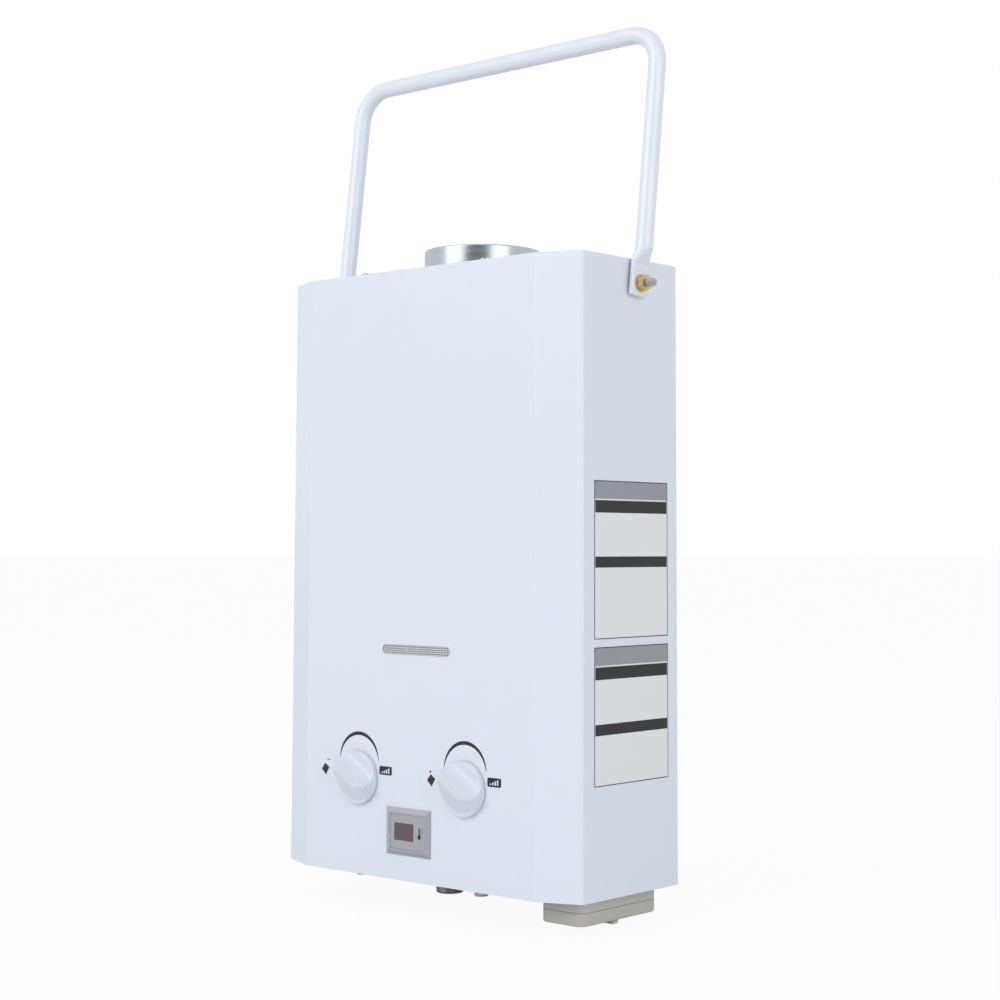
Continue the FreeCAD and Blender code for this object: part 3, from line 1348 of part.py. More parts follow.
def probe_bracket():
    """Strip that carries the two electrodes on the jacket's front."""
    z = BOTTOM + BURNER_TOP + 8
    y = CORE_FRONT - CORE_WALL - 1.2
    plate = box(-PROBE_X - 8, PROBE_X + 8, y, y + 1.2, z - 5, z + 22)
    holes = [cyl(PROBE_R, (x, y - 1, z), (x, y + 3, z)) for x in (-PROBE_X, PROBE_X)]
    return plate.cut(holes)


def overheat_switch():
    """Thermal cut-out disc on the exchanger's front."""
    z = BOTTOM + SHELL_TOP + FIN_H / 2
    y = CORE_FRONT - CORE_WALL
    return cyl(CUTOUT_R, (30, y - CUTOUT_T, z), (30, y, z))


# Handle

def handle():
    """Tube bent to a U, with its ends flattened against the sides and drilled for the pivot bolts."""
    reach = HANDLE_REACH
    path = [
        (-LEG_X, 0, ROUND_START), (-LEG_X, 0, reach), (LEG_X, 0, reach), (LEG_X, 0, ROUND_START),
    ]
    bow = pipe(path, TUBE_R, TUBE_R - TUBE_WALL, HANDLE_BEND_R)
    ends = []
    for side in (-1, 1):
        ends.append(handle_end(side))
    solid = bow.fuse(ends).removeSplitter()
    bore = cyl(BOLT_R + PIVOT_FIT, (-LEG_X - 20, 0, 0), (LEG_X + 20, 0, 0))
    solid = solid.cut(bore)
    solid.rotate(V(0, 0, 0), V(1, 0, 0), HANDLE_TILT)
    solid.rotate(V(0, 0, 0), V(1, 0, 0), 0)
    solid.translate(V(0, PIVOT_Y, PIVOT_Z))
    return solid


def handle_end(side):
    """Flattened end: a rounded strap that swells into the round tube."""
    middle = side * (FLAT_INNER + FLAT_T / 2)
    strap = box(middle - FLAT_T / 2, middle + FLAT_T / 2, -FLAT_W / 2, FLAT_W / 2, -FLAT_TAIL, FLAT_TOP)
    swell = Part.makeLoft([
        rounded_section(middle, FLAT_TOP, FLAT_T / 2, FLAT_W / 2),
        rounded_section(side * (HALF + LEG_CLEARANCE + TUBE_R), ROUND_START, TUBE_R, TUBE_R),
    ], True, False)
    edges = [e for e in strap.Edges if abs(e.tangentAt(e.FirstParameter).z) > 0.9]
    strap = strap.makeFillet(FLAT_T / 2 - 0.01, edges)
    return strap.fuse(swell)


def rounded_section(x, z, half_x, half_y):
    """Closed section with four tangent arcs, an obround or a circle."""
    corner = min(half_x, half_y) - 0.005
    straight = half_y - corner
    flat = half_x - corner
    points = []
    for i in range(4):
        sx = (1, -1, -1, 1)[i]
        sy = (1, 1, -1, -1)[i]
        for share in (0, 45, 90):
            angle = math.radians(90 * i + share)
            points.append(
                V(x + sx * flat + corner * math.cos(angle), sy * straight + corner * math.sin(angle), z),
            )
    edges = []
    for i in range(4):
        a, b, c = points[3 * i:3 * i + 3]
        edges.append(Part.Arc(a, b, c).toShape())
        edges.append(Part.makeLine(c, points[(3 * i + 3) % 12]))
    return Part.Wire(edges)


def handle_spacers():
    """Rings between the cabinet and the handle's flattened ends."""
    ring = tube(WASHER_R, BOLT_R + SCREW_FIT, (HALF, PIVOT_Y, PIVOT_Z), (HALF + SPACER_T, PIVOT_Y, PIVOT_Z))
    return both_sides(ring)


def handle_washers():
    start = FLAT_OUTER + PIVOT_SIDE_GAP
    ring = tube(
        WASHER_R, BOLT_R + SCREW_FIT, (start, PIVOT_Y, PIVOT_Z), (start + WASHER_T, PIVOT_Y, PIVOT_Z),
    )
    return both_sides(ring)


def handle_nuts():
    start = FLAT_OUTER + PIVOT_SIDE_GAP + WASHER_T
    nut = hexagon(NUT_AF, (start, PIVOT_Y, PIVOT_Z), (start + NUT_T, PIVOT_Y, PIVOT_Z))
    nut = nut.cut(cyl(BOLT_R, (start - 1, PIVOT_Y, PIVOT_Z), (start + NUT_T + 1, PIVOT_Y, PIVOT_Z)))
    return both_sides(nut)


def handle_bolts():
    """Pivot bolts with their heads inside the cabinet and their ends outside."""
    inside = HALF - SHEET
    end = FLAT_OUTER + PIVOT_SIDE_GAP + WASHER_T + NUT_T + BOLT_PROUD
    head = hexagon(NUT_AF, (inside - BOLT_HEAD_T, PIVOT_Y, PIVOT_Z), (inside, PIVOT_Y, PIVOT_Z))
    shank = cyl(BOLT_R, (inside, PIVOT_Y, PIVOT_Z), (end, PIVOT_Y, PIVOT_Z))
    ring = [e for e in shank.Edges if abs(e.CenterOfMass.x - end) < 0.01]
    shank = shank.makeChamfer(BOLT_CHAMFER, ring)
    return both_sides(head.fuse(shank).removeSplitter())


save("front_cover", front_cover())
save("cover_screws", *cover_screws())
save("top_panel", top_panel())
save("bottom_panel", bottom_panel())
save("back_plate", back_plate())
save("wall_bracket", wall_bracket())
save("bracket_rivets", *bracket_rivets())
save("sight_mesh", sight_mesh())
save("gas_knob", knob(GAS_KNOB_X))
save("water_knob", knob(WATER_KNOB_X))
save("gas_spindle", spindle(GAS_KNOB_X, PLUG_BACK - 0.2))
save("water_spindle", spindle(WATER_KNOB_X, PLUG_BACK - 0.2))
save("display_bezel", bezel())
save("display_window", display_window())
save("display_board", display_board())
save("flue_collar", flue_collar())
save("draft_hood", draft_hood())
save("combustion_shell", combustion_shell())
save("exchanger_case", exchanger_case())
save("exchanger_fins", *exchanger_fins())
save("exchanger_tubes", exchanger_tubes())
save("cold_pipe", cold_pipe())
save("hot_pipe", hot_pipe())
save("burner_bars", *burner_bars())
save("burner_frame", burner_frame())
save("gas_manifold", gas_manifold())
save("injectors", *injectors())
save("gas_feed_pipe", pipe(gas_feed(), PIPE_R - 1, PIPE_R - 1 - PIPE_WALL, 6.0))
save("gas_valve_body", gas_valve_body())
save("gas_solenoid", gas_solenoid())
save("solenoid_plunger", solenoid_plunger())
save("push_rod", push_rod())
save("rod_spring", rod_spring())
save("plunger_spring", plunger_spring())
save("diaphragm", diaphragm())
save("diaphragm_cover", diaphragm_cover())
save("water_valve_body", water_valve_body())
save("valve_screws", *valve_screws())
save("micro_switch", micro_switch())
save("switch_lever", switch_lever())
save("gas_inlet", stub(GAS_STUB_X, GAS_STUB_Y, GAS_STUB_DROP))
save("cold_inlet", stub(COLD_STUB_X, STUB_Y, PIPE_STUB_DROP))
save("hot_outlet", stub(HOT_STUB_X, STUB_Y, PIPE_STUB_DROP))
save("drain_body", drain_body())
save("drain_screw", drain_screw())
save("battery_housing", battery_housing())
save("battery_lid", battery_lid())
save("battery_cells", *battery_cells())
save("cell_contacts", *cell_contacts())
save("lid_strip", lid_strip())
save("igniter_box", igniter_box())
save("spark_electrode", probe(-PROBE_X))
save("flame_probe", probe(PROBE_X))
save("probe_bracket", probe_bracket())
save("overheat_switch", overheat_switch())
save("handle", handle())
save("handle_spacers", *handle_spacers())
save("handle_washers", *handle_washers())
save("handle_nuts", *handle_nuts())
save("handle_bolts", *handle_bolts())
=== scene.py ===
import math

import bmesh
import bpy
from bpy.props import FloatProperty, FloatVectorProperty, IntProperty, PointerProperty
from mathutils import Matrix, Vector


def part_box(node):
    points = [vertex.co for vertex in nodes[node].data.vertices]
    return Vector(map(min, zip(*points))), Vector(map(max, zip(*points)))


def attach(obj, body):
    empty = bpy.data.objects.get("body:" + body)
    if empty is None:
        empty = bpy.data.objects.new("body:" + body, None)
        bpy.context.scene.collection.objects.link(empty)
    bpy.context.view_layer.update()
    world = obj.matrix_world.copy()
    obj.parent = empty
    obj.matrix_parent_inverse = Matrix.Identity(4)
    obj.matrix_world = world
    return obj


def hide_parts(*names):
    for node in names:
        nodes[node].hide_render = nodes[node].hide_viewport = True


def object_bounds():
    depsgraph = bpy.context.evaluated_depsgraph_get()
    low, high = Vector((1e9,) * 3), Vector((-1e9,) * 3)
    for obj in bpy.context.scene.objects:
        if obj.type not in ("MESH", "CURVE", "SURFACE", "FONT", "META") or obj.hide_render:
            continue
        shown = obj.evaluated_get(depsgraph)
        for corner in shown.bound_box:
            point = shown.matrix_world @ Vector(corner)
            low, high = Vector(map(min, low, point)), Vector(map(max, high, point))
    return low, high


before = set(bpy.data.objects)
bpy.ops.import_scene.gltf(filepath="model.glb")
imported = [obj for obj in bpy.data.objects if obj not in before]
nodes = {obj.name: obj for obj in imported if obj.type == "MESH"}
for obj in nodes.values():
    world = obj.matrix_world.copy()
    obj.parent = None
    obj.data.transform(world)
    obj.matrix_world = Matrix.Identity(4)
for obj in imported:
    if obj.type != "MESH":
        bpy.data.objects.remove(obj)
CAD_BOX = [list(corner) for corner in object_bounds()]

bl_info = {
    "name": "Portable Water Heater",
    "version": (1, 0, 0),
    "blender": (4, 5, 0),
    "location": "View3D > Sidebar > Heater",
    "description": "Dresses a portable propane water heater with paint, metal, marks, digits, "
                   "threads and mesh",
    "category": "Object",
}

# Faces and lines of the cabinet, read from its solids
COVER_LOW, COVER_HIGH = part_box("front_cover")
FRONT_Y = COVER_LOW.y
SIDE_X = COVER_HIGH.x
BASE_Z = COVER_LOW.z
GAS_KNOB = sum(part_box("gas_knob"), Vector()) / 2
WATER_KNOB = sum(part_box("water_knob"), Vector()) / 2
WINDOW_LOW, WINDOW_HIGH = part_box("display_window")
MESH_LOW, MESH_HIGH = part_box("sight_mesh")

# Sizes and colours that a user would change

def colour_setting(name, description, default):
    """A colour in the panel."""
    return FloatVectorProperty(
        name=name, description=description, subtype="COLOR", size=3, min=0, max=1, default=default)


def number_setting(name, description, low, high, default, subtype="NONE"):
    """A number in the panel, with its limits."""
    return FloatProperty(
        name=name, description=description, subtype=subtype, min=low, max=high, default=default)


def length_setting(name, description, low, high, default):
    """A length in the panel, in metres."""
    return number_setting(name, description, low, high, default, "DISTANCE")


class HeaterCabinetSettings(bpy.types.PropertyGroup):
    paint: colour_setting("Cabinet Paint", "Colour of the baked coat on the cabinet", (0.76, 0.805, 0.885))
    paint_roughness: number_setting("Paint Roughness", "How matt the cabinet's coat is", 0, 1, 0.34, "FACTOR")
    handle_paint: colour_setting("Handle Paint", "Colour of the coat on the handle tube", (0.78, 0.82, 0.89))
    box_plastic: colour_setting("Battery Box Plastic", "Colour of the battery box", (0.50, 0.49, 0.44))


class HeaterMarkSettings(bpy.types.PropertyGroup):
    ink: colour_setting("Ink", "Colour of the printed marks", (0.012, 0.012, 0.014))
    crescent_radius: length_setting(
        "Crescent Radius", "Outer radius of the printed arc above each knob", 0.015, 0.03, 0.0203)
    crescent_width: length_setting("Crescent Width", "Widest part of the printed arc", 0.0005, 0.006, 0.0026)
    crescent_rise: length_setting(
        "Crescent Rise", "How far the arc's centre lies above the knob's axis", 0, 0.03, 0.0127)
    print_thickness: length_setting(
        "Print Thickness", "Thickness of the printed ink", 0.00002, 0.0005, 0.00006)
    knob_turn: number_setting("Knob Turn", "Turn of both knobs about their axes, in degrees", -180, 180, 31.0)
    band: colour_setting(
        "Sticker Band", "Colour of the plain band at the top of each side sticker", (0.30, 0.32, 0.35))


class HeaterDisplaySettings(bpy.types.PropertyGroup):
    number: IntProperty(name="Number", description="The number on the display", min=0, max=99, default=38)
    digit_height: length_setting("Digit Height", "Height of each digit", 0.002, 0.012, 0.0094)
    window_shift: length_setting(
        "Window Shift", "How far the window stands right of the solid's window", 0, 0.005, 0.0036)
    lit: colour_setting("Lit Segment", "Colour of a lit segment", (0.17, 0.035, 0.05))


class HeaterFastenerSettings(bpy.types.PropertyGroup):
    pipe_pitch: length_setting(
        "Pipe Thread Pitch", "Distance between the crests of a pipe thread", 0.0008, 0.003, 0.001814)
    bolt_pitch: length_setting(
        "Bolt Thread Pitch", "Distance between the crests of the pivot bolt's thread", 0.0005, 0.002, 0.001)
    wire_pitch: length_setting(
        "Wire Pitch", "Distance between the wires behind the sight slot", 0.0008, 0.004, 0.0015)
    wire_radius: length_setting(
        "Wire Radius", "Radius of each wire behind the sight slot", 0.0001, 0.001, 0.00028)


class HeaterStageSettings(bpy.types.PropertyGroup):
    focal_length: number_setting(
        "Focal Length", "Camera lens in millimetres", 20, 200, 69.13, "DISTANCE_CAMERA")
    key_power: number_setting(
        "Key Light", "Power of the large soft light at the front", 0, 400, 21.0, "POWER")
    side_power: number_setting("Side Light", "Power of the soft light at the right", 0, 400, 11.0, "POWER")
    sky: number_setting("Room Light", "Strength of the even light from all round", 0, 2, 0.60, "FACTOR")
    dark_side: FloatVectorProperty(
        name="Dark Side", description="Direction of the room's dark side, which metal mirrors",
        subtype="DIRECTION", size=3, default=(0.43, -0.90, 0.03))


SETTINGS = {
    "heater_cabinet": HeaterCabinetSettings,
    "heater_marks": HeaterMarkSettings,
    "heater_display": HeaterDisplaySettings,
    "heater_fasteners": HeaterFastenerSettings,
    "heater_stage": HeaterStageSettings,
}
# Node tools

def link(source, target):
    """A link between two sockets of one tree."""
    target.id_data.links.new(source, target)


def place(tree, kind, at=(0, 0), **values):
    """A node of a kind, with its plain properties set."""
    node = tree.nodes.new(kind)
    node.location = at
    for key, value in values.items():
        setattr(node, key, value)
    return node


def math_node(tree, operation, first, second, at=(0, 0)):
    """A Math node whose two inputs are sockets or numbers."""
    node = place(tree, "ShaderNodeMath", at, operation=operation)
    for index, value in enumerate((first, second)):
        if hasattr(value, "links"):
            link(value, node.inputs[index])
        else:
            node.inputs[index].default_value = value
    return node.outputs[0]


def fill(node, values):
    """A node's inputs set by name."""
    for label, value in values.items():
        node.inputs[label].default_value = value


def grey_of(tree, value, at=(0, 0)):
    """The grey whose three channels are one value."""
    grey = place(tree, "ShaderNodeCombineColor", at)
    for channel in range(3):
        link(value, grey.inputs[channel])
    return grey.outputs[0]


def mix_shader(tree, share, first, second, at=(0, 0)):
    """A mix of two shaders, with the share of the second."""
    mix = place(tree, "ShaderNodeMixShader", at)
    for source, target in zip((share, first, second), mix.inputs):
        link(source, target)
    return mix.outputs[0]


# Shader groups that several finishes share

def surface_group(name, values):
    """A surface group with its Group Input and Group Output nodes."""
    group = bpy.data.node_groups.new(name, "ShaderNodeTree")
    group.interface.new_socket("Vector", in_out="INPUT", socket_type="NodeSocketVector")
    for label, value in values.items():
        kind = "NodeSocketVector" if isinstance(value, tuple) else "NodeSocketFloat"
        group.interface.new_socket(label, in_out="INPUT", socket_type=kind).default_value = value
    for label in ("Tone", "Roughness", "Height"):
        group.interface.new_socket(label, in_out="OUTPUT", socket_type="NodeSocketFloat")
    return group, place(group, "NodeGroupInput", (-900, 0)), place(group, "NodeGroupOutput", (500, 0))


def end_surface(group, entry, leave, pattern, height):
    """Tone and roughness that follow a pattern about its middle value, and the height of the bump."""
    centred = math_node(group, "SUBTRACT", pattern, 0.5, (-300, 0))
    tone = math_node(group, "MULTIPLY", centred, entry.outputs["Tone Change"], (-150, 100))
    gloss = math_node(group, "MULTIPLY", centred, entry.outputs["Roughness Change"], (-150, -100))
    rough = math_node(group, "ADD", gloss, entry.outputs["Roughness"], (50, -100))
    link(math_node(group, "ADD", tone, 1.0, (50, 100)), leave.inputs["Tone"])
    link(rough, leave.inputs["Roughness"])
    link(height, leave.inputs["Height"])
    return group


def coat_texture_group():
    """Fine orange peel of a baked coat, with slow changes of gloss and tone."""
    group, entry, leave = surface_group("Coat Texture", {
        "Cell Scale": 900.0, "Tone Change": 0.02, "Roughness": 0.34, "Roughness Change": 0.06})
    peel = place(group, "ShaderNodeTexNoise", (-600, 200))
    fill(peel, {"Detail": 2.0})
    slow = place(group, "ShaderNodeTexNoise", (-600, -100))
    fill(slow, {"Scale": 9.0, "Detail": 4.0})
    link(entry.outputs["Vector"], peel.inputs["Vector"])
    link(entry.outputs["Vector"], slow.inputs["Vector"])
    link(entry.outputs["Cell Scale"], peel.inputs["Scale"])
    return end_surface(group, entry, leave, slow.outputs["Fac"], peel.outputs["Fac"])


def drawn_metal_group():
    """Fine lines left by rolling, turning or brushing, stretched along one direction."""
    group, entry, leave = surface_group("Drawn Metal", {
        "Stretch": (1.0, 1.0, 1.0), "Roughness": 0.3, "Roughness Change": 0.2, "Tone Change": 0.25})
    stretched = place(group, "ShaderNodeVectorMath", (-700, 0), operation="MULTIPLY")
    link(entry.outputs["Vector"], stretched.inputs[0])
    link(entry.outputs["Stretch"], stretched.inputs[1])
    lines = place(group, "ShaderNodeTexNoise", (-500, 0))
    fill(lines, {"Scale": 1.0, "Detail": 5.0})
    link(stretched.outputs[0], lines.inputs["Vector"])
    return end_surface(group, entry, leave, lines.outputs["Fac"], lines.outputs["Fac"])


def crystal_group():
    """Large flat crystals of hot-dip zinc, or the grains of a casting at a smaller scale."""
    group, entry, leave = surface_group("Crystals", {
        "Cell Scale": 120.0, "Tone Change": 0.3, "Roughness": 0.4, "Roughness Change": 0.2})
    cells = place(group, "ShaderNodeTexVoronoi", (-600, 0))
    link(entry.outputs["Vector"], cells.inputs["Vector"])
    link(entry.outputs["Cell Scale"], cells.inputs["Scale"])
    grey = place(group, "ShaderNodeSeparateColor", (-400, 0))
    link(cells.outputs["Color"], grey.inputs[0])
    return end_surface(group, entry, leave, grey.outputs[0], cells.outputs["Distance"])


# Numbers of a Mix node's colour sockets
MIX_A, MIX_B, MIX_RESULT = 6, 7, 2


def finish(name, colour, group, values, metallic, roughness, bump, shader):
    """A material: one surface group feeds tone, roughness and bump of a Principled shader."""
    material = bpy.data.materials.new(name)
    material.use_nodes = True
    tree = material.node_tree
    surface = tree.nodes["Principled BSDF"]
    fill(surface, {"Base Color": colour, "Metallic": metallic, "Roughness": roughness, **shader})
    where = place(tree, "ShaderNodeTexCoord", (-900, 0))
    texture = place(tree, "ShaderNodeGroup", (-650, 0), node_tree=group)
    link(where.outputs["Object"], texture.inputs["Vector"])
    fill(texture, {"Roughness": roughness, **values})
    tint = place(tree, "ShaderNodeMix", (-400, 100), data_type="RGBA", blend_type="MULTIPLY")
    tint.inputs["Factor"].default_value = 1.0
    tint.inputs[MIX_A].default_value = colour
    link(grey_of(tree, texture.outputs["Tone"], (-520, 200)), tint.inputs[MIX_B])
    link(tint.outputs[MIX_RESULT], surface.inputs["Base Color"])
    link(texture.outputs["Roughness"], surface.inputs["Roughness"])
    if bump:
        relief = place(tree, "ShaderNodeBump", (-300, -250))
        fill(relief, {"Strength": 1.0, "Distance": bump})
        link(texture.outputs["Height"], relief.inputs["Height"])
        link(relief.outputs["Normal"], surface.inputs["Normal"])
    return material


# Each finish: the material's name, its colour, its surface group, the group's cell scale or stretch, its tone
# change and roughness change, then metallic, roughness, bump in metres, and further inputs of the shader.
# A text in the place of a value names a user's setting. None leaves the group's own value.
FINISH_TABLE = {
    "white_coat": (
        "White Baked Coat", "heater_cabinet.paint", "coat", 1100.0, 0.015, None,
        0.0, "heater_cabinet.paint_roughness", 0.000012, {"Coat Weight": 0.15, "Coat Roughness": 0.25}),
    "handle_coat": (
        "Handle Coat", "heater_cabinet.handle_paint", "coat", 800.0, 0.02, None,
        0.0, 0.28, 0.00001, {"Coat Weight": 0.25, "Coat Roughness": 0.2}),
    "white_plastic": (
        "White Moulded Plastic", (0.70, 0.745, 0.82), "coat", 2600.0, 0.02, None, 0.0, 0.38, 0.000006, {}),
    "silver_plastic": (
        "Silver Painted Plastic", (0.46, 0.48, 0.51), "coat", 3500.0, 0.08, None, 0.85, 0.24, 0.000003, {}),
    "zinc_sheet": (
        "Galvanised Sheet", (0.52, 0.53, 0.55), "crystal", 130.0, 0.22, None, 0.9, 0.42, 0.0, {}),
    "collar_steel": (
        "Rolled Collar Steel", (0.50, 0.53, 0.57), "drawn", (60.0, 60.0, 2600.0), 0.3, 0.25,
        0.95, 0.3, 0.000004, {}),
    "plain_steel": (
        "Plain Steel", (0.45, 0.46, 0.47), "drawn", (900.0, 250.0, 900.0), None, None,
        1.0, 0.34, 0.000004, {}),
    "stainless": (
        "Stainless Pressing", (0.46, 0.46, 0.45), "drawn", (250.0, 1500.0, 1500.0), None, None,
        1.0, 0.36, 0.000004, {}),
    "spring_steel": (
        "Spring Steel", (0.50, 0.50, 0.51), "drawn", (1200.0, 1200.0, 300.0), None, None,
        1.0, 0.28, 0.0, {}),
    "copper": (
        "Tinned Copper", (0.62, 0.33, 0.20), "coat", 260.0, 0.45, 0.3, 0.95, 0.38, 0.000006, {}),
    "brass": (
        "Cast Brass", (0.62, 0.46, 0.20), "crystal", 1400.0, 0.12, 0.15, 0.95, 0.42, 0.00002, {}),
    "yellow_zinc": (
        "Yellow Passivated Zinc", (0.62, 0.50, 0.22), "coat", 500.0, 0.5, 0.2, 0.9, 0.33, 0.000003, {}),
    "nickel": (
        "Nickel Plate", (0.55, 0.54, 0.52), "drawn", (200.0, 200.0, 1800.0), 0.15, None,
        1.0, 0.25, 0.0, {}),
    "cast_aluminium": (
        "Cast Aluminium", (0.56, 0.57, 0.58), "crystal", 1000.0, 0.12, 0.15, 0.9, 0.5, 0.00003, {}),
    "rubber": (
        "Black Rubber", (0.02, 0.02, 0.021), "coat", 1800.0, 0.3, None, 0.0, 0.7, 0.00001, {}),
    "black_plastic": (
        "Black Plastic", (0.018, 0.018, 0.02), "coat", 2400.0, 0.2, None, 0.0, 0.45, 0.000008, {}),
    "box_plastic": (
        "Battery Box Plastic", "heater_cabinet.box_plastic", "coat", 2200.0, 0.06, 0.1,
        0.0, 0.48, 0.00001, {}),
    "cell_jacket": (
        "Cell Jacket", (0.03, 0.035, 0.045), "coat", 60.0, 0.2, None, 0.0, 0.25, 0.0, {}),
    "board": (
        "Circuit Board", (0.02, 0.12, 0.05), "crystal", 900.0, 0.5, None, 0.0, 0.35, 0.0, {}),
    "ceramic": (
        "White Ceramic", (0.80, 0.78, 0.73), "coat", 1500.0, 0.06, None, 0.0, 0.3, 0.0, {}),
    "lens": (
        "Tinted Lens", (0.075, 0.075, 0.085), "coat", 40.0, 0.2, None,
        0.0, 0.09, 0.0, {"Coat Weight": 0.5, "Coat Roughness": 0.05}),
    "ink": ("Black Ink", "heater_marks.ink", "coat", 1600.0, 0.3, None, 0.0, 0.5, 0.0, {}),
    "pale_ink": ("White Ink", (0.80, 0.82, 0.85), "coat", 1600.0, 0.05, None, 0.0, 0.5, 0.0, {}),
    "sticker": ("Sticker Film", (0.80, 0.82, 0.84), "coat", 700.0, 0.02, None, 0.0, 0.3, 0.000004, {}),
    "band_ink": ("Band Ink", "heater_marks.band", "coat", 1600.0, 0.1, None, 0.0, 0.35, 0.0, {}),
    "lit": (
        "Lit Segment", "heater_display.lit", "coat", 900.0, 0.1, None,
        0.0, 0.3, 0.0, {"Emission Color": "heater_display.lit", "Emission Strength": 0.25}),
    "unlit": ("Unlit Segment", (0.085, 0.055, 0.065), "coat", 900.0, 0.1, None, 0.0, 0.3, 0.0, {}),
}


def resolved(value):
    """A number, or a colour with full alpha, from a value of the table or the setting that it names."""
    if isinstance(value, str):
        group, key = value.split(".")
        value = getattr(getattr(bpy.context.scene, group), key)
    return value if isinstance(value, float) else (*value, 1.0)


def make_finishes():
    """Every finish on the heater, by name."""
    groups = {"coat": coat_texture_group(), "drawn": drawn_metal_group(), "crystal": crystal_group()}
    made = {}
    for key, row in FINISH_TABLE.items():
        name, colour, kind, pattern, tone, gloss, metallic, roughness, bump, shader = row
        values = {
            "Stretch" if kind == "drawn" else "Cell Scale": pattern,
            "Tone Change": tone, "Roughness Change": gloss}
        values = {label: value for label, value in values.items() if value is not None}
        shader = {label: resolved(value) for label, value in shader.items()}
        made[key] = finish(
            name, resolved(colour), groups[kind], values, metallic, resolved(roughness), bump, shader)
    return made


FINISHES = {}  # filled by the first operator

# The nodes that take each finish
FINISHED_NODES = {
    "white_coat": ("front_cover", "top_panel"),
    "plain_steel": (
        "cover_screws", "bracket_rivets", "sight_mesh", "solenoid_plunger", "push_rod", "valve_screws",
        "overheat_switch", "handle_bolts"),
    "zinc_sheet": ("bottom_panel", "back_plate", "wall_bracket"),
    "white_plastic": ("gas_knob", "water_knob", "drain_screw"),
    "brass": (
        "gas_spindle", "water_spindle", "injectors", "diaphragm_cover", "water_valve_body", "drain_body"),
    "silver_plastic": ("display_bezel",),
    "lens": ("display_window",),
    "board": ("display_board",),
    "collar_steel": ("flue_collar",),
    "copper": (
        "draft_hood", "combustion_shell", "exchanger_case", "exchanger_fins", "exchanger_tubes",
        "cold_pipe", "hot_pipe"),
    "stainless": ("burner_bars", "burner_frame", "probe_bracket"),
    "cast_aluminium": ("gas_manifold", "gas_feed_pipe", "gas_valve_body"),
    "black_plastic": ("gas_solenoid", "micro_switch", "igniter_box"),
    "spring_steel": ("rod_spring", "plunger_spring", "switch_lever", "cell_contacts", "lid_strip"),
    "rubber": ("diaphragm",),
    "nickel": ("gas_inlet", "cold_inlet", "hot_outlet"),
    "box_plastic": ("battery_housing", "battery_lid"),
    "cell_jacket": ("battery_cells",),
    "ceramic": ("spark_electrode", "flame_probe"),
    "handle_coat": ("handle",),
    "yellow_zinc": ("handle_spacers", "handle_washers", "handle_nuts"),
}


# Small mesh tools

def linked(name, data):
    """An object in the scene, with its data."""
    obj = bpy.data.objects.new(name, data)
    bpy.context.scene.collection.objects.link(obj)
    return obj


def mesh_object(name, bm, material):
    """A scene object from a bmesh, with its place in its vertices."""
    data = bpy.data.meshes.new(name)
    bm.to_mesh(data)
    bm.free()
    data.materials.append(FINISHES[material])
    return linked(name, data)


def smooth(obj, angle=35.0):
    """Soft shading with crisp edges past an angle."""
    for face in obj.data.polygons:
        face.use_smooth = True
    obj.data.set_sharp_from_angle(angle=math.radians(angle))


def on_cabinet(obj):
    """A piece fixed to the cabinet."""
    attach(obj, "cabinet")
    return obj


def skin(bm, rings):
    """Faces between rings of as many vertices each, with a cap on the last ring and on the first."""
    bm.faces.new(rings[-1])
    bm.faces.new(rings[0][::-1])
    for a, b in zip(rings, rings[1:]):
        for i in range(len(a)):
            j = (i + 1) % len(a)
            bm.faces.new((a[i], a[j], b[j], b[i]))


PRINT_SUNK = 0.00002  # how deep printed ink reaches into its face, so that no gap shows


def print_shapes(name, outlines, to_world, thickness, material):
    """Flat printed shapes: each outline of 2D points becomes a thin slab on a face of the cabinet.

    to_world turns a 2D point and a height above the face into a place on the heater.
    """
    bm = bmesh.new()
    for outline in outlines:
        skin(bm, [[bm.verts.new(to_world(u, v, height)) for u, v in outline]
                  for height in (-PRINT_SUNK, thickness)])
    bmesh.ops.triangulate(bm, faces=[f for f in bm.faces if len(f.verts) > 4])
    bmesh.ops.recalc_face_normals(bm, faces=bm.faces)
    return mesh_object(name, bm, material)


def front_face(u, v, height):
    """A place on the cabinet's front, from X and the height above the cabinet's base."""
    return (u, FRONT_Y - height, BASE_Z + v)


def right_face(u, v, height):
    """A place on the cabinet's right side, from Y and the height above the cabinet's base."""
    return (SIDE_X + height, u, BASE_Z + v)


def polar(radius, degrees):
    """A point of a circle about the origin."""
    angle = math.radians(degrees)
    return radius * math.cos(angle), radius * math.sin(angle)


def rectangle(x0, x1, y0, y1):
    """Outline of a plain rectangle."""
    return [(x0, y0), (x1, y0), (x1, y1), (x0, y1)]


def rounded(x0, x1, y0, y1, radius, steps=5):
    """Outline of a rectangle with round corners."""
    points = []
    for i, (cx, cy) in enumerate(((x1, y1), (x0, y1), (x0, y0), (x1, y0))):
        middle_x = cx - radius if cx == x1 else cx + radius
        middle_y = cy - radius if cy == y1 else cy + radius
        for step in range(steps + 1):
            angle = math.radians(90 * i + 90 * step / steps)
            points.append((middle_x + radius * math.cos(angle), middle_y + radius * math.sin(angle)))
    return points


# Geometry Nodes trees

def geometry_tree(name, inputs):
    """A geometry tree with named inputs, and its Group Input and Group Output nodes."""
    tree = bpy.data.node_groups.new(name, "GeometryNodeTree")
    tree.interface.new_socket("Geometry", in_out="INPUT", socket_type="NodeSocketGeometry")
    for label, kind in inputs:
        tree.interface.new_socket(label, in_out="INPUT", socket_type=kind)
    tree.interface.new_socket("Geometry", in_out="OUTPUT", socket_type="NodeSocketGeometry")
    entry = place(tree, "NodeGroupInput", (-900, 0))
    leave = place(tree, "NodeGroupOutput", (900, 0))
    return tree, entry, leave


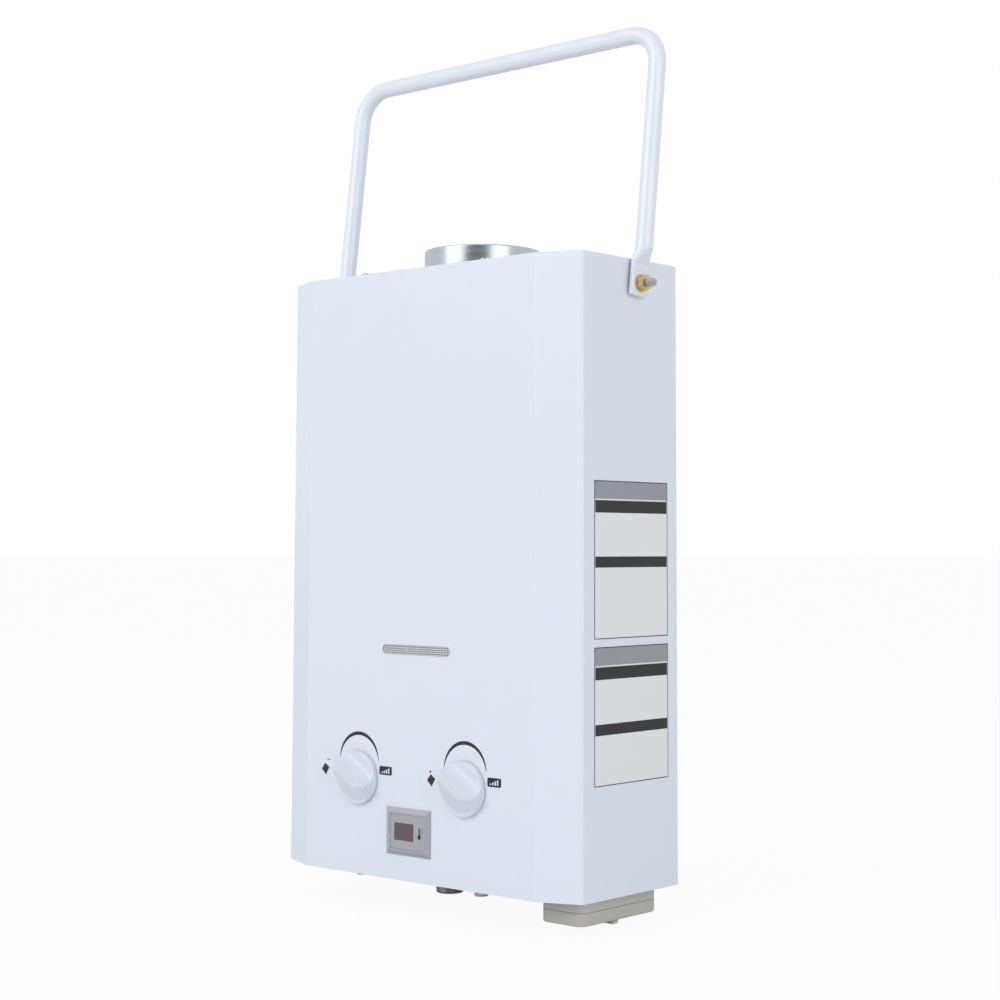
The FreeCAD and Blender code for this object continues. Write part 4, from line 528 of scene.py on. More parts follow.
def end_tree(tree, leave, geometry, entry):
    """Real geometry with its material, into the group's output."""
    realize = place(tree, "GeometryNodeRealizeInstances", (500, 0))
    paint = place(tree, "GeometryNodeSetMaterial", (700, 0))
    link(geometry, realize.inputs[0])
    link(realize.outputs[0], paint.inputs["Geometry"])
    link(entry.outputs["Material"], paint.inputs["Material"])
    link(paint.outputs[0], leave.inputs[0])


def grown(name, tree, values):
    """A plain mesh object from a geometry tree run with its inputs' values."""
    holder = linked(name + "_holder", bpy.data.meshes.new(name + "_start"))
    modifier = holder.modifiers.new("Growth", "NODES")
    modifier.node_group = tree
    for item in tree.interface.items_tree:
        if item.item_type == "SOCKET" and item.in_out == "INPUT" and item.name in values:
            modifier[item.identifier] = values[item.name]
    holder.update_tag()
    bpy.context.view_layer.update()
    evaluated = holder.evaluated_get(bpy.context.evaluated_depsgraph_get())
    mesh = bpy.data.meshes.new_from_object(evaluated)
    holder.modifiers.clear()
    bpy.data.objects.remove(holder)
    mesh.name = name
    return linked(name, mesh)


CREST_STEPS = 40  # corners of a thread crest round its axis
CREST_SECTION = 4  # corners of its pointed section
CREST_DEPTH = 0.5  # depth of a crest, in pitches
WIRE_SIDES = 6


def thread_tree():
    """Thread crests: a ring of pointed section, repeated along Z at the thread's pitch."""
    tree, entry, leave = geometry_tree("Thread Crests", [
        ("Radius", "NodeSocketFloat"), ("Pitch", "NodeSocketFloat"), ("Count", "NodeSocketInt"),
        ("Material", "NodeSocketMaterial"),
    ])
    depth = math_node(tree, "MULTIPLY", entry.outputs["Pitch"], CREST_DEPTH, (-700, -200))
    inner = math_node(tree, "SUBTRACT", entry.outputs["Radius"], depth, (-550, -100))
    circle = place(tree, "GeometryNodeCurvePrimitiveCircle", (-350, 0))
    circle.inputs["Resolution"].default_value = CREST_STEPS
    link(inner, circle.inputs["Radius"])
    section = place(tree, "GeometryNodeCurvePrimitiveCircle", (-350, -200))
    section.inputs["Resolution"].default_value = CREST_SECTION
    link(depth, section.inputs["Radius"])
    ring = place(tree, "GeometryNodeCurveToMesh", (-150, 0))
    link(circle.outputs[0], ring.inputs[0])
    link(section.outputs[0], ring.inputs["Profile Curve"])
    offset = place(tree, "ShaderNodeCombineXYZ", (-350, 250))
    link(entry.outputs["Pitch"], offset.inputs["Z"])
    line = place(tree, "GeometryNodeMeshLine", (-150, 250))
    link(entry.outputs["Count"], line.inputs["Count"])
    link(offset.outputs[0], line.inputs["Offset"])
    stack = place(tree, "GeometryNodeInstanceOnPoints", (100, 0))
    link(line.outputs[0], stack.inputs["Points"])
    link(ring.outputs[0], stack.inputs["Instance"])
    end_tree(tree, leave, stack.outputs[0], entry)
    return tree


def wire_tree():
    """Woven wires: round bars repeated across a strip, lying along X or Z."""
    tree, entry, leave = geometry_tree("Strip Wires", [
        ("Wire Radius", "NodeSocketFloat"), ("Length", "NodeSocketFloat"), ("Count", "NodeSocketInt"),
        ("Step", "NodeSocketVector"), ("Start", "NodeSocketVector"), ("Turn", "NodeSocketVector"),
        ("Material", "NodeSocketMaterial"),
    ])
    bar = place(tree, "GeometryNodeMeshCylinder", (-350, -100))
    bar.inputs["Vertices"].default_value = WIRE_SIDES
    link(entry.outputs["Wire Radius"], bar.inputs["Radius"])
    link(entry.outputs["Length"], bar.inputs["Depth"])
    line = place(tree, "GeometryNodeMeshLine", (-350, 200))
    link(entry.outputs["Count"], line.inputs["Count"])
    link(entry.outputs["Start"], line.inputs["Start Location"])
    link(entry.outputs["Step"], line.inputs["Offset"])
    row = place(tree, "GeometryNodeInstanceOnPoints", (0, 0))
    link(line.outputs[0], row.inputs["Points"])
    link(bar.outputs[0], row.inputs["Instance"])
    link(entry.outputs["Turn"], row.inputs["Rotation"])
    end_tree(tree, leave, row.outputs[0], entry)
    return tree


TREES = {}  # filled before the operators run


def lathe(profile, steps=48):
    """A closed turned form about Z, from radius and height pairs that start and end on the axis."""
    bm = bmesh.new()
    rings = []
    for radius, height in profile:
        if radius < 1e-6:
            rings.append([bm.verts.new((0, 0, height))])
            continue
        ring = []
        for i in range(steps):
            angle = 2 * math.pi * i / steps
            ring.append(bm.verts.new((radius * math.cos(angle), radius * math.sin(angle), height)))
        rings.append(ring)
    for a, b in zip(rings, rings[1:]):
        for i in range(steps):
            j = (i + 1) % steps
            corners = [a[i % len(a)], a[j % len(a)], b[j % len(b)], b[i % len(b)]]
            face = []
            for vert in corners:
                if vert not in face:
                    face.append(vert)
            if len(face) > 2:
                bm.faces.new(face)
    bmesh.ops.recalc_face_normals(bm, faces=bm.faces)
    return bm


def join(name, parts):
    """One object from several of one material, in the place of their vertices."""
    bm = bmesh.new()
    for part in parts:
        bm.from_mesh(part.data)
    for face in bm.faces:
        face.material_index = 0
    data = bpy.data.meshes.new(name)
    bm.to_mesh(data)
    bm.free()
    data.materials.append(parts[0].data.materials[0])
    for part in parts:
        bpy.data.objects.remove(part)
    return linked(name, data)


# Operators

class HEATER_OT_finishes(bpy.types.Operator):
    """Make the finishes and give each piece of the heater its own"""
    bl_idname = "heater.finishes"
    bl_label = "Paint and Plate"

    def execute(self, context):
        FINISHES.update(make_finishes())
        for finish_name, names in FINISHED_NODES.items():
            for name in names:
                materials = nodes[name].data.materials
                materials.clear()
                materials.append(FINISHES[finish_name])
        return {"FINISHED"}


# Printed marks beside each knob, in metres: the pointer and its tip about their own middle, then the tag
MARK_RISE = 0.0035
POINTER = ((-0.0004, 0.0042), (-0.0040, -0.0003), (0.0006, -0.0044), (0.0041, 0.0012))
GAS_POINTER_X = -0.0359
GAS_TIP = ((0.0019, 0.0072), (0.0022, 0.0064), (0.0063, 0.0070))
WATER_POINTER_X = -0.0327
WATER_TIP = ((-0.0018, 0.0062), (-0.0016, 0.0050), (0.0004, 0.0058), (-0.0004, 0.0068))
TAG_X = 0.0212
TAG_WIDTH = 0.0128
TAG_HEIGHT = 0.0062
TAG_CORNER = 0.0012
BAR_COUNT = 4
BAR_START = 0.0024
BAR_STEP = 0.0022
BAR_WIDTH = 0.0012
BAR_FOOT = 0.0012
BAR_TOP = 0.0022
BAR_GROWTH = 0.0009
PALE_INK = 1.6  # thickness of the pale ink on the tags, in thicknesses of the black
ARC_STEP = 5
ARC_TAPER = 0.7  # below 1 keeps an arc wide for longer towards its ends


class HEATER_OT_marks(bpy.types.Operator):
    """Print the arcs, pointers and plain tags round the two knobs"""
    bl_idname = "heater.marks"
    bl_label = "Printed Marks"

    def execute(self, context):
        marks = context.scene.heater_marks
        black = []
        pale = []
        for knob, pointer_x, tip in (
                (GAS_KNOB, GAS_POINTER_X, GAS_TIP), (WATER_KNOB, WATER_POINTER_X, WATER_TIP)):
            centre = knob.z - BASE_Z + marks.crescent_rise
            arc = [polar(marks.crescent_radius, a) for a in range(0, 181, ARC_STEP)]
            for a in range(180 - ARC_STEP, 0, -ARC_STEP):
                width = marks.crescent_width * math.sin(math.radians(a)) ** ARC_TAPER
                arc.append(polar(marks.crescent_radius - width, a))
            black.append([(knob.x + u, centre + v) for u, v in arc])
            x = knob.x + pointer_x
            z = knob.z - BASE_Z + MARK_RISE
            black += [[(x + u, z + v) for u, v in shape] for shape in (POINTER, tip)]
            left = knob.x + TAG_X
            black.append(rounded(left, left + TAG_WIDTH, z, z + TAG_HEIGHT, TAG_CORNER))
            for step in range(BAR_COUNT):
                bar = left + BAR_START + BAR_STEP * step
                pale.append(rectangle(bar, bar + BAR_WIDTH, z + BAR_FOOT, z + BAR_TOP + BAR_GROWTH * step))
        ink = print_shapes("printed_marks", black, front_face, marks.print_thickness, "ink")
        on_cabinet(ink)
        bars = print_shapes("printed_bars", pale, front_face, marks.print_thickness * PALE_INK, "pale_ink")
        on_cabinet(bars)
        return {"FINISHED"}


# Side stickers, in metres: bottom and top above the base, ends along Y, and what is printed on them
STICKER_SPANS = ((0.175, 0.283), (0.076, 0.1695))
STICKER_ENDS = (-0.0995, -0.0175)
STICKER_CORNER = 0.0015
STICKER_LINE = 0.0006
STICKER_HEAD = 0.0125
STICKER_BANDS = ((0.0135, 0.0085), (0.052, 0.0075))  # drop below the top, and depth
BAND_MARGIN = 0.001
FILM = 0.00008
FILM_INK = FILM * 1.5


class HEATER_OT_stickers(bpy.types.Operator):
    """Put the two plain stickers on the right side"""
    bl_idname = "heater.stickers"
    bl_label = "Side Stickers"

    def execute(self, context):
        y0, y1 = STICKER_ENDS
        line = STICKER_LINE
        plates = []
        borders = []
        heads = []
        for low, high in STICKER_SPANS:
            plates.append(rounded(y0, y1, low, high, STICKER_CORNER))
            borders.append(rectangle(y0, y1, low, low + line))
            borders.append(rectangle(y0, y1, high - line, high))
            borders.append(rectangle(y0, y0 + line, low, high))
            borders.append(rectangle(y1 - line, y1, low, high))
            heads.append(rectangle(y0 + line, y1 - line, high - STICKER_HEAD, high - line))
            for drop, depth in STICKER_BANDS:
                borders.append(rectangle(
                    y0 + BAND_MARGIN, y1 - BAND_MARGIN, high - drop - depth, high - drop))
        on_cabinet(print_shapes("sticker_film", plates, right_face, FILM, "sticker"))
        on_cabinet(print_shapes("sticker_bands", borders, right_face, FILM_INK, "ink"))
        on_cabinet(print_shapes("sticker_heads", heads, right_face, FILM_INK, "band_ink"))
        return {"FINISHED"}


SEGMENTS = {
    "0": "abcdef", "1": "bc", "2": "abged", "3": "abgcd", "4": "fgbc",
    "5": "afgcd", "6": "afgedc", "7": "abc", "8": "abcdefg", "9": "abcdfg",
}

# Digits: shares of a digit's height, the gap as a share of a segment's width, then lengths in metres
DIGIT_WIDTH = 0.52
DIGIT_STEP = 0.92
DIGIT_SLANT = 0.08
SEGMENT_WIDTH = 0.12
SEGMENT_GAP = 0.6
SEGMENT_INK = 0.00003
DIGIT_DEPTH = 0.0011  # how far the digits lie behind the frame's face
PANEL_DEPTH = 0.0008  # how far the frame's panel lies behind its face

# The thermometer sign on the panel, in metres
SIGN_GAP = 0.0058
SIGN_STEM = (-0.0006, 0.0006, -0.0016, 0.004, 0.0005)
SIGN_BULB = 0.0016
SIGN_BULB_Z = -0.0024
SIGN_TICKS = (0.0002, 0.0016, 0.003)
SIGN_TICK_ENDS = (0.0014, 0.0028)
SIGN_TICK_WIDTH = 0.0005
SIGN_INK = 0.00005


def segment(x0, z0, x1, z1, bar):
    """Outline of a digit's segment: a level or upright bar with pointed ends."""
    gap = bar * SEGMENT_GAP
    half = bar / 2
    if z0 == z1:
        return [(x0 + gap, z0), (x0 + gap + half, z0 + half), (x1 - gap - half, z0 + half),
                (x1 - gap, z0), (x1 - gap - half, z0 - half), (x0 + gap + half, z0 - half)]
    return [(x0, z0 + gap), (x0 + half, z0 + gap + half), (x0 + half, z1 - gap - half),
            (x0, z1 - gap), (x0 - half, z1 - gap - half), (x0 - half, z0 + gap + half)]


class HEATER_OT_display(bpy.types.Operator):
    """Draw the two seven-segment digits and the thermometer sign on the display"""
    bl_idname = "heater.display"
    bl_label = "Display"

    def execute(self, context):
        settings = context.scene.heater_display
        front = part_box("display_bezel")[0].y
        height = settings.digit_height
        half = height / 2
        side = height * DIGIT_WIDTH / 2
        centre_x = (WINDOW_LOW.x + WINDOW_HIGH.x) / 2 + settings.window_shift
        centre_z = (WINDOW_LOW.z + WINDOW_HIGH.z) / 2
        sign_x = WINDOW_HIGH.x + settings.window_shift + SIGN_GAP

        def on_window(u, v, rise):
            return (centre_x + u + v * DIGIT_SLANT, front + DIGIT_DEPTH - rise, centre_z + v)

        def on_panel(u, v, rise):
            return (sign_x + u, front + PANEL_DEPTH - rise, centre_z + v)

        lit = []
        unlit = []
        for index, figure in enumerate(f"{settings.number:02d}"):
            middle = (index - 0.5) * height * DIGIT_STEP
            left = middle - side
            right = middle + side
            spans = {
                "a": (left, half, right, half), "g": (left, 0, right, 0), "d": (left, -half, right, -half),
                "f": (left, 0, left, half), "b": (right, 0, right, half),
                "e": (left, -half, left, 0), "c": (right, -half, right, 0),
            }
            for letter, span in spans.items():
                shape = segment(*span, height * SEGMENT_WIDTH)
                (lit if letter in SEGMENTS[figure] else unlit).append(shape)
        on_cabinet(print_shapes("digit_segments", lit, on_window, SEGMENT_INK, "lit"))
        if unlit:
            on_cabinet(print_shapes("resting_segments", unlit, on_window, SEGMENT_INK, "unlit"))

        bulb = [(u, SIGN_BULB_Z + v) for u, v in (polar(SIGN_BULB, a) for a in range(0, 360, 20))]
        sign = [rounded(*SIGN_STEM, 3), bulb]
        sign += [rectangle(*SIGN_TICK_ENDS, z, z + SIGN_TICK_WIDTH) for z in SIGN_TICKS]
        on_cabinet(print_shapes("thermometer_sign", sign, on_panel, SIGN_INK, "ink"))
        return {"FINISHED"}


# The knobs, in metres: the skirt, then the grip's ridge, flat top and the feet of its two slopes
SKIRT_THICKNESS = 0.003
SKIRT_EDGE = 0.0008
EDGE_ROUND = 0.3  # share of the edge that a middle step cuts off
GRIP_RIDGE = 0.0052
GRIP_WIDTH = 0.0086
GRIP_FOOT = 0.0155
GRIP_BACK_FOOT = -0.0158
GRIP_ROOT = 0.0006  # how deep the grip is set into the skirt
GRIP_TAPER = 0.0018  # how far the tip's outline lies inside the skirt's
TIP_TRIM = 0.0001
HOLLOW = 3.4  # power of the hollowed side's curve
CUT_TURN = 38.0  # degrees of the slanted cut about the knob's axis
CUT_LEAN = 1.35  # how far the cut leans to the front, for one across
CUT_X = 0.35  # share of the radius
CUT_Z = -0.0034
KNOB_STEPS = 96
KNOB_CREASE = 24.0


def grip_profile(disc, tip, steps=10):
    """Section of the grip: a flat top, a hollowed side above it and a slope below it."""
    points = []
    for step in range(steps + 1):
        share = step / steps
        across = GRIP_RIDGE + (GRIP_FOOT - GRIP_RIDGE) * share
        points.append((across, tip + (disc - tip) * (1 - (1 - share) ** HOLLOW)))
    return points + [(GRIP_FOOT, disc + GRIP_ROOT), (GRIP_BACK_FOOT, disc + GRIP_ROOT),
                     (GRIP_BACK_FOOT, disc), (GRIP_RIDGE - GRIP_WIDTH, tip)]


def turned(name, profile):
    """A lathed piece of white plastic whose heights run to the front."""
    bm = lathe(profile, KNOB_STEPS)
    for vert in bm.verts:
        vert.co = Vector((vert.co.x, -vert.co.z, vert.co.y))
    bmesh.ops.recalc_face_normals(bm, faces=bm.faces)
    return mesh_object(name, bm, "white_plastic")


def grip(radius, disc, tip):
    """Bar grip of a knob, cut off slantwise at one end and trimmed to the knob's outline."""
    bm = bmesh.new()
    profile = grip_profile(disc, tip)
    skin(bm, [[bm.verts.new((side * radius, depth, across)) for across, depth in profile]
              for side in (-1, 1)])
    slant = math.radians(CUT_TURN)
    cut = bmesh.ops.bisect_plane(
        bm, geom=bm.verts[:] + bm.edges[:] + bm.faces[:], plane_co=(radius * CUT_X, tip, CUT_Z),
        plane_no=Vector((math.sin(slant), -CUT_LEAN, -math.cos(slant))).normalized(), clear_outer=True)
    rim = [e for e in cut["geom_cut"] if isinstance(e, bmesh.types.BMEdge)]
    bmesh.ops.contextual_create(bm, geom=rim)
    bmesh.ops.recalc_face_normals(bm, faces=bm.faces)
    bar = mesh_object("bar", bm, "white_plastic")
    edge = radius - SKIRT_EDGE
    limit = turned("limit", [
        (0, -disc - GRIP_ROOT), (edge, -disc - GRIP_ROOT), (edge, -disc),
        (radius - GRIP_TAPER, -tip + TIP_TRIM), (0, -tip + TIP_TRIM)])
    meet = bar.modifiers.new("Meet", "BOOLEAN")
    meet.operation = "INTERSECT"
    meet.solver = "EXACT"
    meet.object = limit
    bpy.context.view_layer.update()
    evaluated = bar.evaluated_get(bpy.context.evaluated_depsgraph_get())
    trimmed = bpy.data.meshes.new_from_object(evaluated)
    bar.modifiers.clear()
    bar.data = trimmed
    bpy.data.objects.remove(limit)
    return bar


class HEATER_OT_knobs(bpy.types.Operator):
    """Mould the two knobs, with a hollowed bar grip cut off slantwise at one end"""
    bl_idname = "heater.knobs"
    bl_label = "Knobs"

    def execute(self, context):
        turn = Matrix.Rotation(math.radians(context.scene.heater_marks.knob_turn), 4, "Y")
        for node, body in (("gas_knob", "gas_control"), ("water_knob", "water_control")):
            low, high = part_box(node)
            middle = (low + high) / 2
            radius = (high.x - low.x) / 2
            disc = high.y - SKIRT_THICKNESS
            skirt = turned("skirt", [
                (0, -high.y), (radius, -high.y), (radius, -disc - SKIRT_EDGE),
                (radius - SKIRT_EDGE * EDGE_ROUND, -disc - SKIRT_EDGE * EDGE_ROUND),
                (radius - SKIRT_EDGE, -disc), (0, -disc)])
            knob = join(node + "_moulding", [skirt, grip(radius, disc, low.y)])
            knob.data.transform(Matrix.Translation((middle.x, 0, middle.z)) @ turn)
            smooth(knob, KNOB_CREASE)
            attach(knob, body)
            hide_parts(node)
        return {"FINISHED"}


# The display's frame, in metres: its foot, how far each step lies inside its outline, and the window's parts
FRAME_FOOT = 0.0005
FRAME_BEVEL = 0.0032
FRAME_RIM = 0.0044
FRAME_INNER = 0.0048
WINDOW_DEPTH = 0.0016
LENS_DEPTH = 0.0013
LENS_THICKNESS = 0.0004
LENS_FIT = 0.995
CORNERS = ((-1, -1), (1, -1), (1, 1), (-1, 1))


class HEATER_OT_bezel(bpy.types.Operator):
    """Mould the display's frame, with its bevelled rim and the panel inside it"""
    bl_idname = "heater.bezel"
    bl_label = "Display Frame"

    def execute(self, context):
        shift = context.scene.heater_display.window_shift
        low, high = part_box("display_bezel")
        x = (low.x + high.x) / 2
        z = (low.z + high.z) / 2
        half_w = (high.x - low.x) / 2
        half_h = (high.z - low.z) / 2
        front = low.y
        window = ((WINDOW_LOW.x + WINDOW_HIGH.x) / 2 + shift - x, (WINDOW_LOW.z + WINDOW_HIGH.z) / 2 - z)
        window_w = (WINDOW_HIGH.x - WINDOW_LOW.x) / 2
        window_h = (WINDOW_HIGH.z - WINDOW_LOW.z) / 2
        steps = ((0, FRONT_Y), (0, FRONT_Y - FRAME_FOOT), (FRAME_BEVEL, front), (FRAME_RIM, front),
                 (FRAME_INNER, front + PANEL_DEPTH))
        rings = [(half_w - inset, half_h - inset, y, 0, 0) for inset, y in steps]
        rings += [(window_w, window_h, front + depth, *window) for depth in (PANEL_DEPTH, WINDOW_DEPTH)]
        bm = bmesh.new()
        skin(bm, [[bm.verts.new((x + u + sx * w, y, z + v + sz * h)) for sx, sz in CORNERS]
                  for w, h, y, u, v in rings])
        bmesh.ops.recalc_face_normals(bm, faces=bm.faces)
        frame_piece = mesh_object("display_frame", bm, "silver_plastic")
        on_cabinet(frame_piece)
        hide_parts("display_bezel")

        bm = bmesh.new()
        bmesh.ops.create_cube(bm, size=1)
        for vert in bm.verts:
            vert.co = Vector((
                x + window[0] + vert.co.x * 2 * window_w * LENS_FIT,
                front + LENS_DEPTH + vert.co.y * LENS_THICKNESS,
                z + window[1] + vert.co.z * 2 * window_h * LENS_FIT))
        lens = mesh_object("display_lens", bm, "lens")
        on_cabinet(lens)
        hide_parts("display_window")
        return {"FINISHED"}


STRIP_MARGIN = 4  # what the wires leave free of the strip's width and height, in wire radii
WIRE_REST = 1.05  # distance of a wire's axis from the strip's face, in wire radii


class HEATER_OT_mesh(bpy.types.Operator):
    """Weave the wires behind the sight slot"""
    bl_idname = "heater.mesh"
    bl_label = "Sight Mesh"

    def execute(self, context):
        settings = context.scene.heater_fasteners
        pitch = settings.wire_pitch
        radius = settings.wire_radius
        width = MESH_HIGH.x - MESH_LOW.x - STRIP_MARGIN * radius
        height = MESH_HIGH.z - MESH_LOW.z - STRIP_MARGIN * radius
        middle = (MESH_LOW + MESH_HIGH) / 2
        across = int(width / pitch)
        up = int(height / pitch)
        upright = grown("upright_wires", TREES["wire"], {
            "Wire Radius": radius, "Length": height, "Count": across, "Step": (pitch, 0, 0),
            "Start": (middle.x - pitch * (across - 1) / 2, MESH_LOW.y + radius * WIRE_REST, middle.z),
            "Turn": (0, 0, 0), "Material": FINISHES["plain_steel"]})
        level = grown("level_wires", TREES["wire"], {
            "Wire Radius": radius, "Length": width, "Count": up, "Step": (0, 0, pitch),
            "Start": (middle.x, MESH_HIGH.y - radius * WIRE_REST, middle.z - pitch * (up - 1) / 2),
            "Turn": (0, math.pi / 2, 0), "Material": FINISHES["plain_steel"]})
        mesh = join("sight_mesh_wires", [upright, level])
        on_cabinet(mesh)
        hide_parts("sight_mesh")
        return {"FINISHED"}


# The threaded stubs, in metres
FLANGE = 0.003
PIPE_RADIUS = 0.01048
PIPE_BORE = 0.007
NECK = 0.0032
NECK_END = 0.004
THREAD_START = 0.0045  # below the flange
END_CHAMFER = 0.0006
END_HEIGHT = 0.0004
BORE_END = 0.002
FIRST_CREST = 0.75  # above the stub's end, in pitches


def threaded_fitting(node, name):
    """Flanged stub with thread crests on its lower end, in the place of a plain one."""
    low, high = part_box(node)
    centre = (low + high) / 2
    flange_radius = (high.x - low.x) / 2
    flange_low = high.z - FLANGE
    pitch = bpy.context.scene.heater_fasteners.pipe_pitch
    root = PIPE_RADIUS - pitch * CREST_DEPTH
    bottom = low.z
    profile = [(0, high.z), (flange_radius, high.z), (flange_radius, flange_low), (PIPE_RADIUS, flange_low),
               (PIPE_RADIUS, flange_low - NECK), (root, flange_low - NECK_END), (root, bottom + END_HEIGHT),
               (root - END_CHAMFER, bottom), (PIPE_BORE, bottom), (PIPE_BORE, high.z - BORE_END),
               (0, high.z - BORE_END)]
    body = mesh_object(name + "_body", lathe(profile, 64), "nickel")
    count = max(1, int((flange_low - THREAD_START - bottom) / pitch))
    crests = grown(name + "_crests", TREES["thread"], {
        "Radius": PIPE_RADIUS, "Pitch": pitch, "Count": count, "Material": FINISHES["nickel"]})
    crests.data.transform(Matrix.Translation((0, 0, bottom + pitch * FIRST_CREST)))
    piece = join(name, [body, crests])
    piece.data.transform(Matrix.Translation((centre.x, centre.y, 0)))
    smooth(piece)
    on_cabinet(piece)
    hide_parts(node)


class HEATER_OT_fittings(bpy.types.Operator):
    """Cut the pipe threads on the gas and water fittings"""
    bl_idname = "heater.fittings"
    bl_label = "Pipe Fittings"

    def execute(self, context):
        threaded_fitting("gas_inlet", "gas_fitting")
        threaded_fitting("cold_inlet", "cold_fitting")
        threaded_fitting("hot_outlet", "hot_fitting")
        return {"FINISHED"}


# The pivot bolts, in metres, with their heads inside the side sheets
SHEET = 0.0008
BOLT_RADIUS = 0.003
SHANK_FIT = 0.999  # share of the radius
HEAD_HEIGHT = 0.004
HEAD_FLATS = 0.010
RUNOUT = 0.0003
POINT = 0.0012
POINT_EDGE = 0.0003
POINT_SHARE = 0.6  # share of the radius
LAST_CREST = 0.001
NUT_CREST = 0.4  # from the nut to the first crest, in pitches


class HEATER_OT_pivot_bolts(bpy.types.Operator):
    """Cut the threads on the handle's two pivot bolts"""
    bl_idname = "heater.pivot_bolts"
    bl_label = "Pivot Bolts"

    def execute(self, context):
        pitch = context.scene.heater_fasteners.bolt_pitch
        low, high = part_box("handle_bolts")
        middle = (low + high) / 2
        end = high.x
        nut_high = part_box("handle_nuts")[1].x
        washer_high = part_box("handle_washers")[1].x
        root = BOLT_RADIUS - pitch * CREST_DEPTH
        shank_radius = BOLT_RADIUS * SHANK_FIT
        head_out = SIDE_X - SHEET
        head_in = SIDE_X - SHEET - HEAD_HEIGHT
        corner = HEAD_FLATS / math.sqrt(3)
        halves = []
        for side in (1, -1):
            shank = lathe([
                (0, head_out), (shank_radius, head_out), (shank_radius, washer_high),
                (root, washer_high + RUNOUT), (root, end - POINT),
                (BOLT_RADIUS * POINT_SHARE, end - POINT_EDGE), (0, end)], 32)
            shank_part = mesh_object("shank", shank, "plain_steel")
            head = bmesh.new()
            skin(head, [[head.verts.new((*polar(corner, 60 * i), z)) for i in range(6)]
                        for z in (head_in, head_out)])
            bmesh.ops.recalc_face_normals(head, faces=head.faces)
            head_part = mesh_object("head", head, "plain_steel")
            count = int((end - LAST_CREST - nut_high) / pitch)
            crests = grown("crests", TREES["thread"], {
                "Radius": BOLT_RADIUS, "Pitch": pitch, "Count": count, "Material": FINISHES["plain_steel"]})
            crests.data.transform(Matrix.Translation((0, 0, nut_high + pitch * NUT_CREST)))
            bolt = join("bolt", [shank_part, head_part, crests])
            turn = Matrix.Rotation(math.radians(90 * side), 4, "Y")
            bolt.data.transform(Matrix.Translation((0, middle.y, middle.z)) @ turn)
            halves.append(bolt)
        bolts = join("pivot_bolts", halves)
        smooth(bolts)
        on_cabinet(bolts)
        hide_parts("handle_bolts")
        return {"FINISHED"}


# The stage, in metres
FLOOR_DROP = 0.004  # below the heater's lowest point
FLOOR_SIZE = 40
FLOOR_GLOW = 0.94  # share of plain white in what the camera sees of the floor
DARK_START = 0.72  # where the dark side starts and where it is full, as cosines from its direction
DARK_FULL = 0.96
MIRRORED_LIGHT = 0.95
MIRRORED_DARK = 0.10
LAMPS = (
    ("front_light", (-0.5, -2.2, 1.0), 1.8, "key_power"),
    ("right_light", (2.2, -0.6, 0.5), 1.4, "side_power"),
)
LAMP_AIM = Vector((0, -0.06, -0.15))

# The camera, as fitted to the edges in the photograph: place in metres, and turn, tilt and roll in degrees
CAMERA_PLACE = (0.9746, -1.1134, -0.1643)
CAMERA_TURN = 41.0
CAMERA_TILT = -4.6
CAMERA_ROLL = 0.1
SHIFT_X = -0.0371
SHIFT_Y = -0.1079


def pale_floor():
    """The floor's finish: matt, and nearly white of itself where the camera sees it."""
    material = bpy.data.materials.new("Pale Floor")
    material.use_nodes = True
    tree = material.node_tree
    surface = tree.nodes["Principled BSDF"]
    fill(surface, {"Base Color": (0.90, 0.90, 0.90, 1), "Roughness": 0.9})
    glow = place(tree, "ShaderNodeEmission", (0, -200))
    fill(glow, {"Color": (1, 1, 1, 1), "Strength": 1.0})
    rays = place(tree, "ShaderNodeLightPath", (-400, 300))
    share = math_node(tree, "MULTIPLY", rays.outputs["Is Camera Ray"], FLOOR_GLOW, (0, 300))
    mixed = mix_shader(tree, share, surface.outputs[0], glow.outputs[0], (300, 0))
    link(mixed, tree.nodes["Material Output"].inputs["Surface"])
    return material


def room(settings):
    """The world: even light, white behind the heater, and a dark side that only metal mirrors."""
    world = bpy.data.worlds.new("Room")
    world.use_nodes = True
    tree = world.node_tree
    back = tree.nodes["Background"]
    fill(back, {"Color": (0.97, 0.985, 1.0, 1), "Strength": settings.sky})
    white = place(tree, "ShaderNodeBackground", (0, -200))
    fill(white, {"Color": (1, 1, 1, 1), "Strength": 1.0})
    mirror = place(tree, "ShaderNodeBackground", (0, -400))
    fill(mirror, {"Strength": 1.0})
    where = place(tree, "ShaderNodeTexCoord", (-900, -400))
    toward = place(tree, "ShaderNodeVectorMath", (-700, -400), operation="DOT_PRODUCT")
    toward.inputs[1].default_value = settings.dark_side
    link(where.outputs["Generated"], toward.inputs[0])
    shade = place(tree, "ShaderNodeMapRange", (-500, -400), interpolation_type="SMOOTHSTEP")
    fill(shade, {
        "From Min": DARK_START, "From Max": DARK_FULL, "To Min": MIRRORED_LIGHT, "To Max": MIRRORED_DARK})
    link(toward.outputs["Value"], shade.inputs["Value"])
    link(grey_of(tree, shade.outputs[0], (-250, -400)), mirror.inputs["Color"])
    rays = place(tree, "ShaderNodeLightPath", (-400, 200))
    seen = math_node(
        tree, "MAXIMUM", rays.outputs["Is Camera Ray"], rays.outputs["Is Transmission Ray"], (-200, 200))
    mirrored = mix_shader(
        tree, rays.outputs["Is Glossy Ray"], back.outputs[0], mirror.outputs[0], (200, -200))
    mixed = mix_shader(tree, seen, mirrored, white.outputs[0], (400, 0))
    link(mixed, tree.nodes["World Output"].inputs["Surface"])
    return world


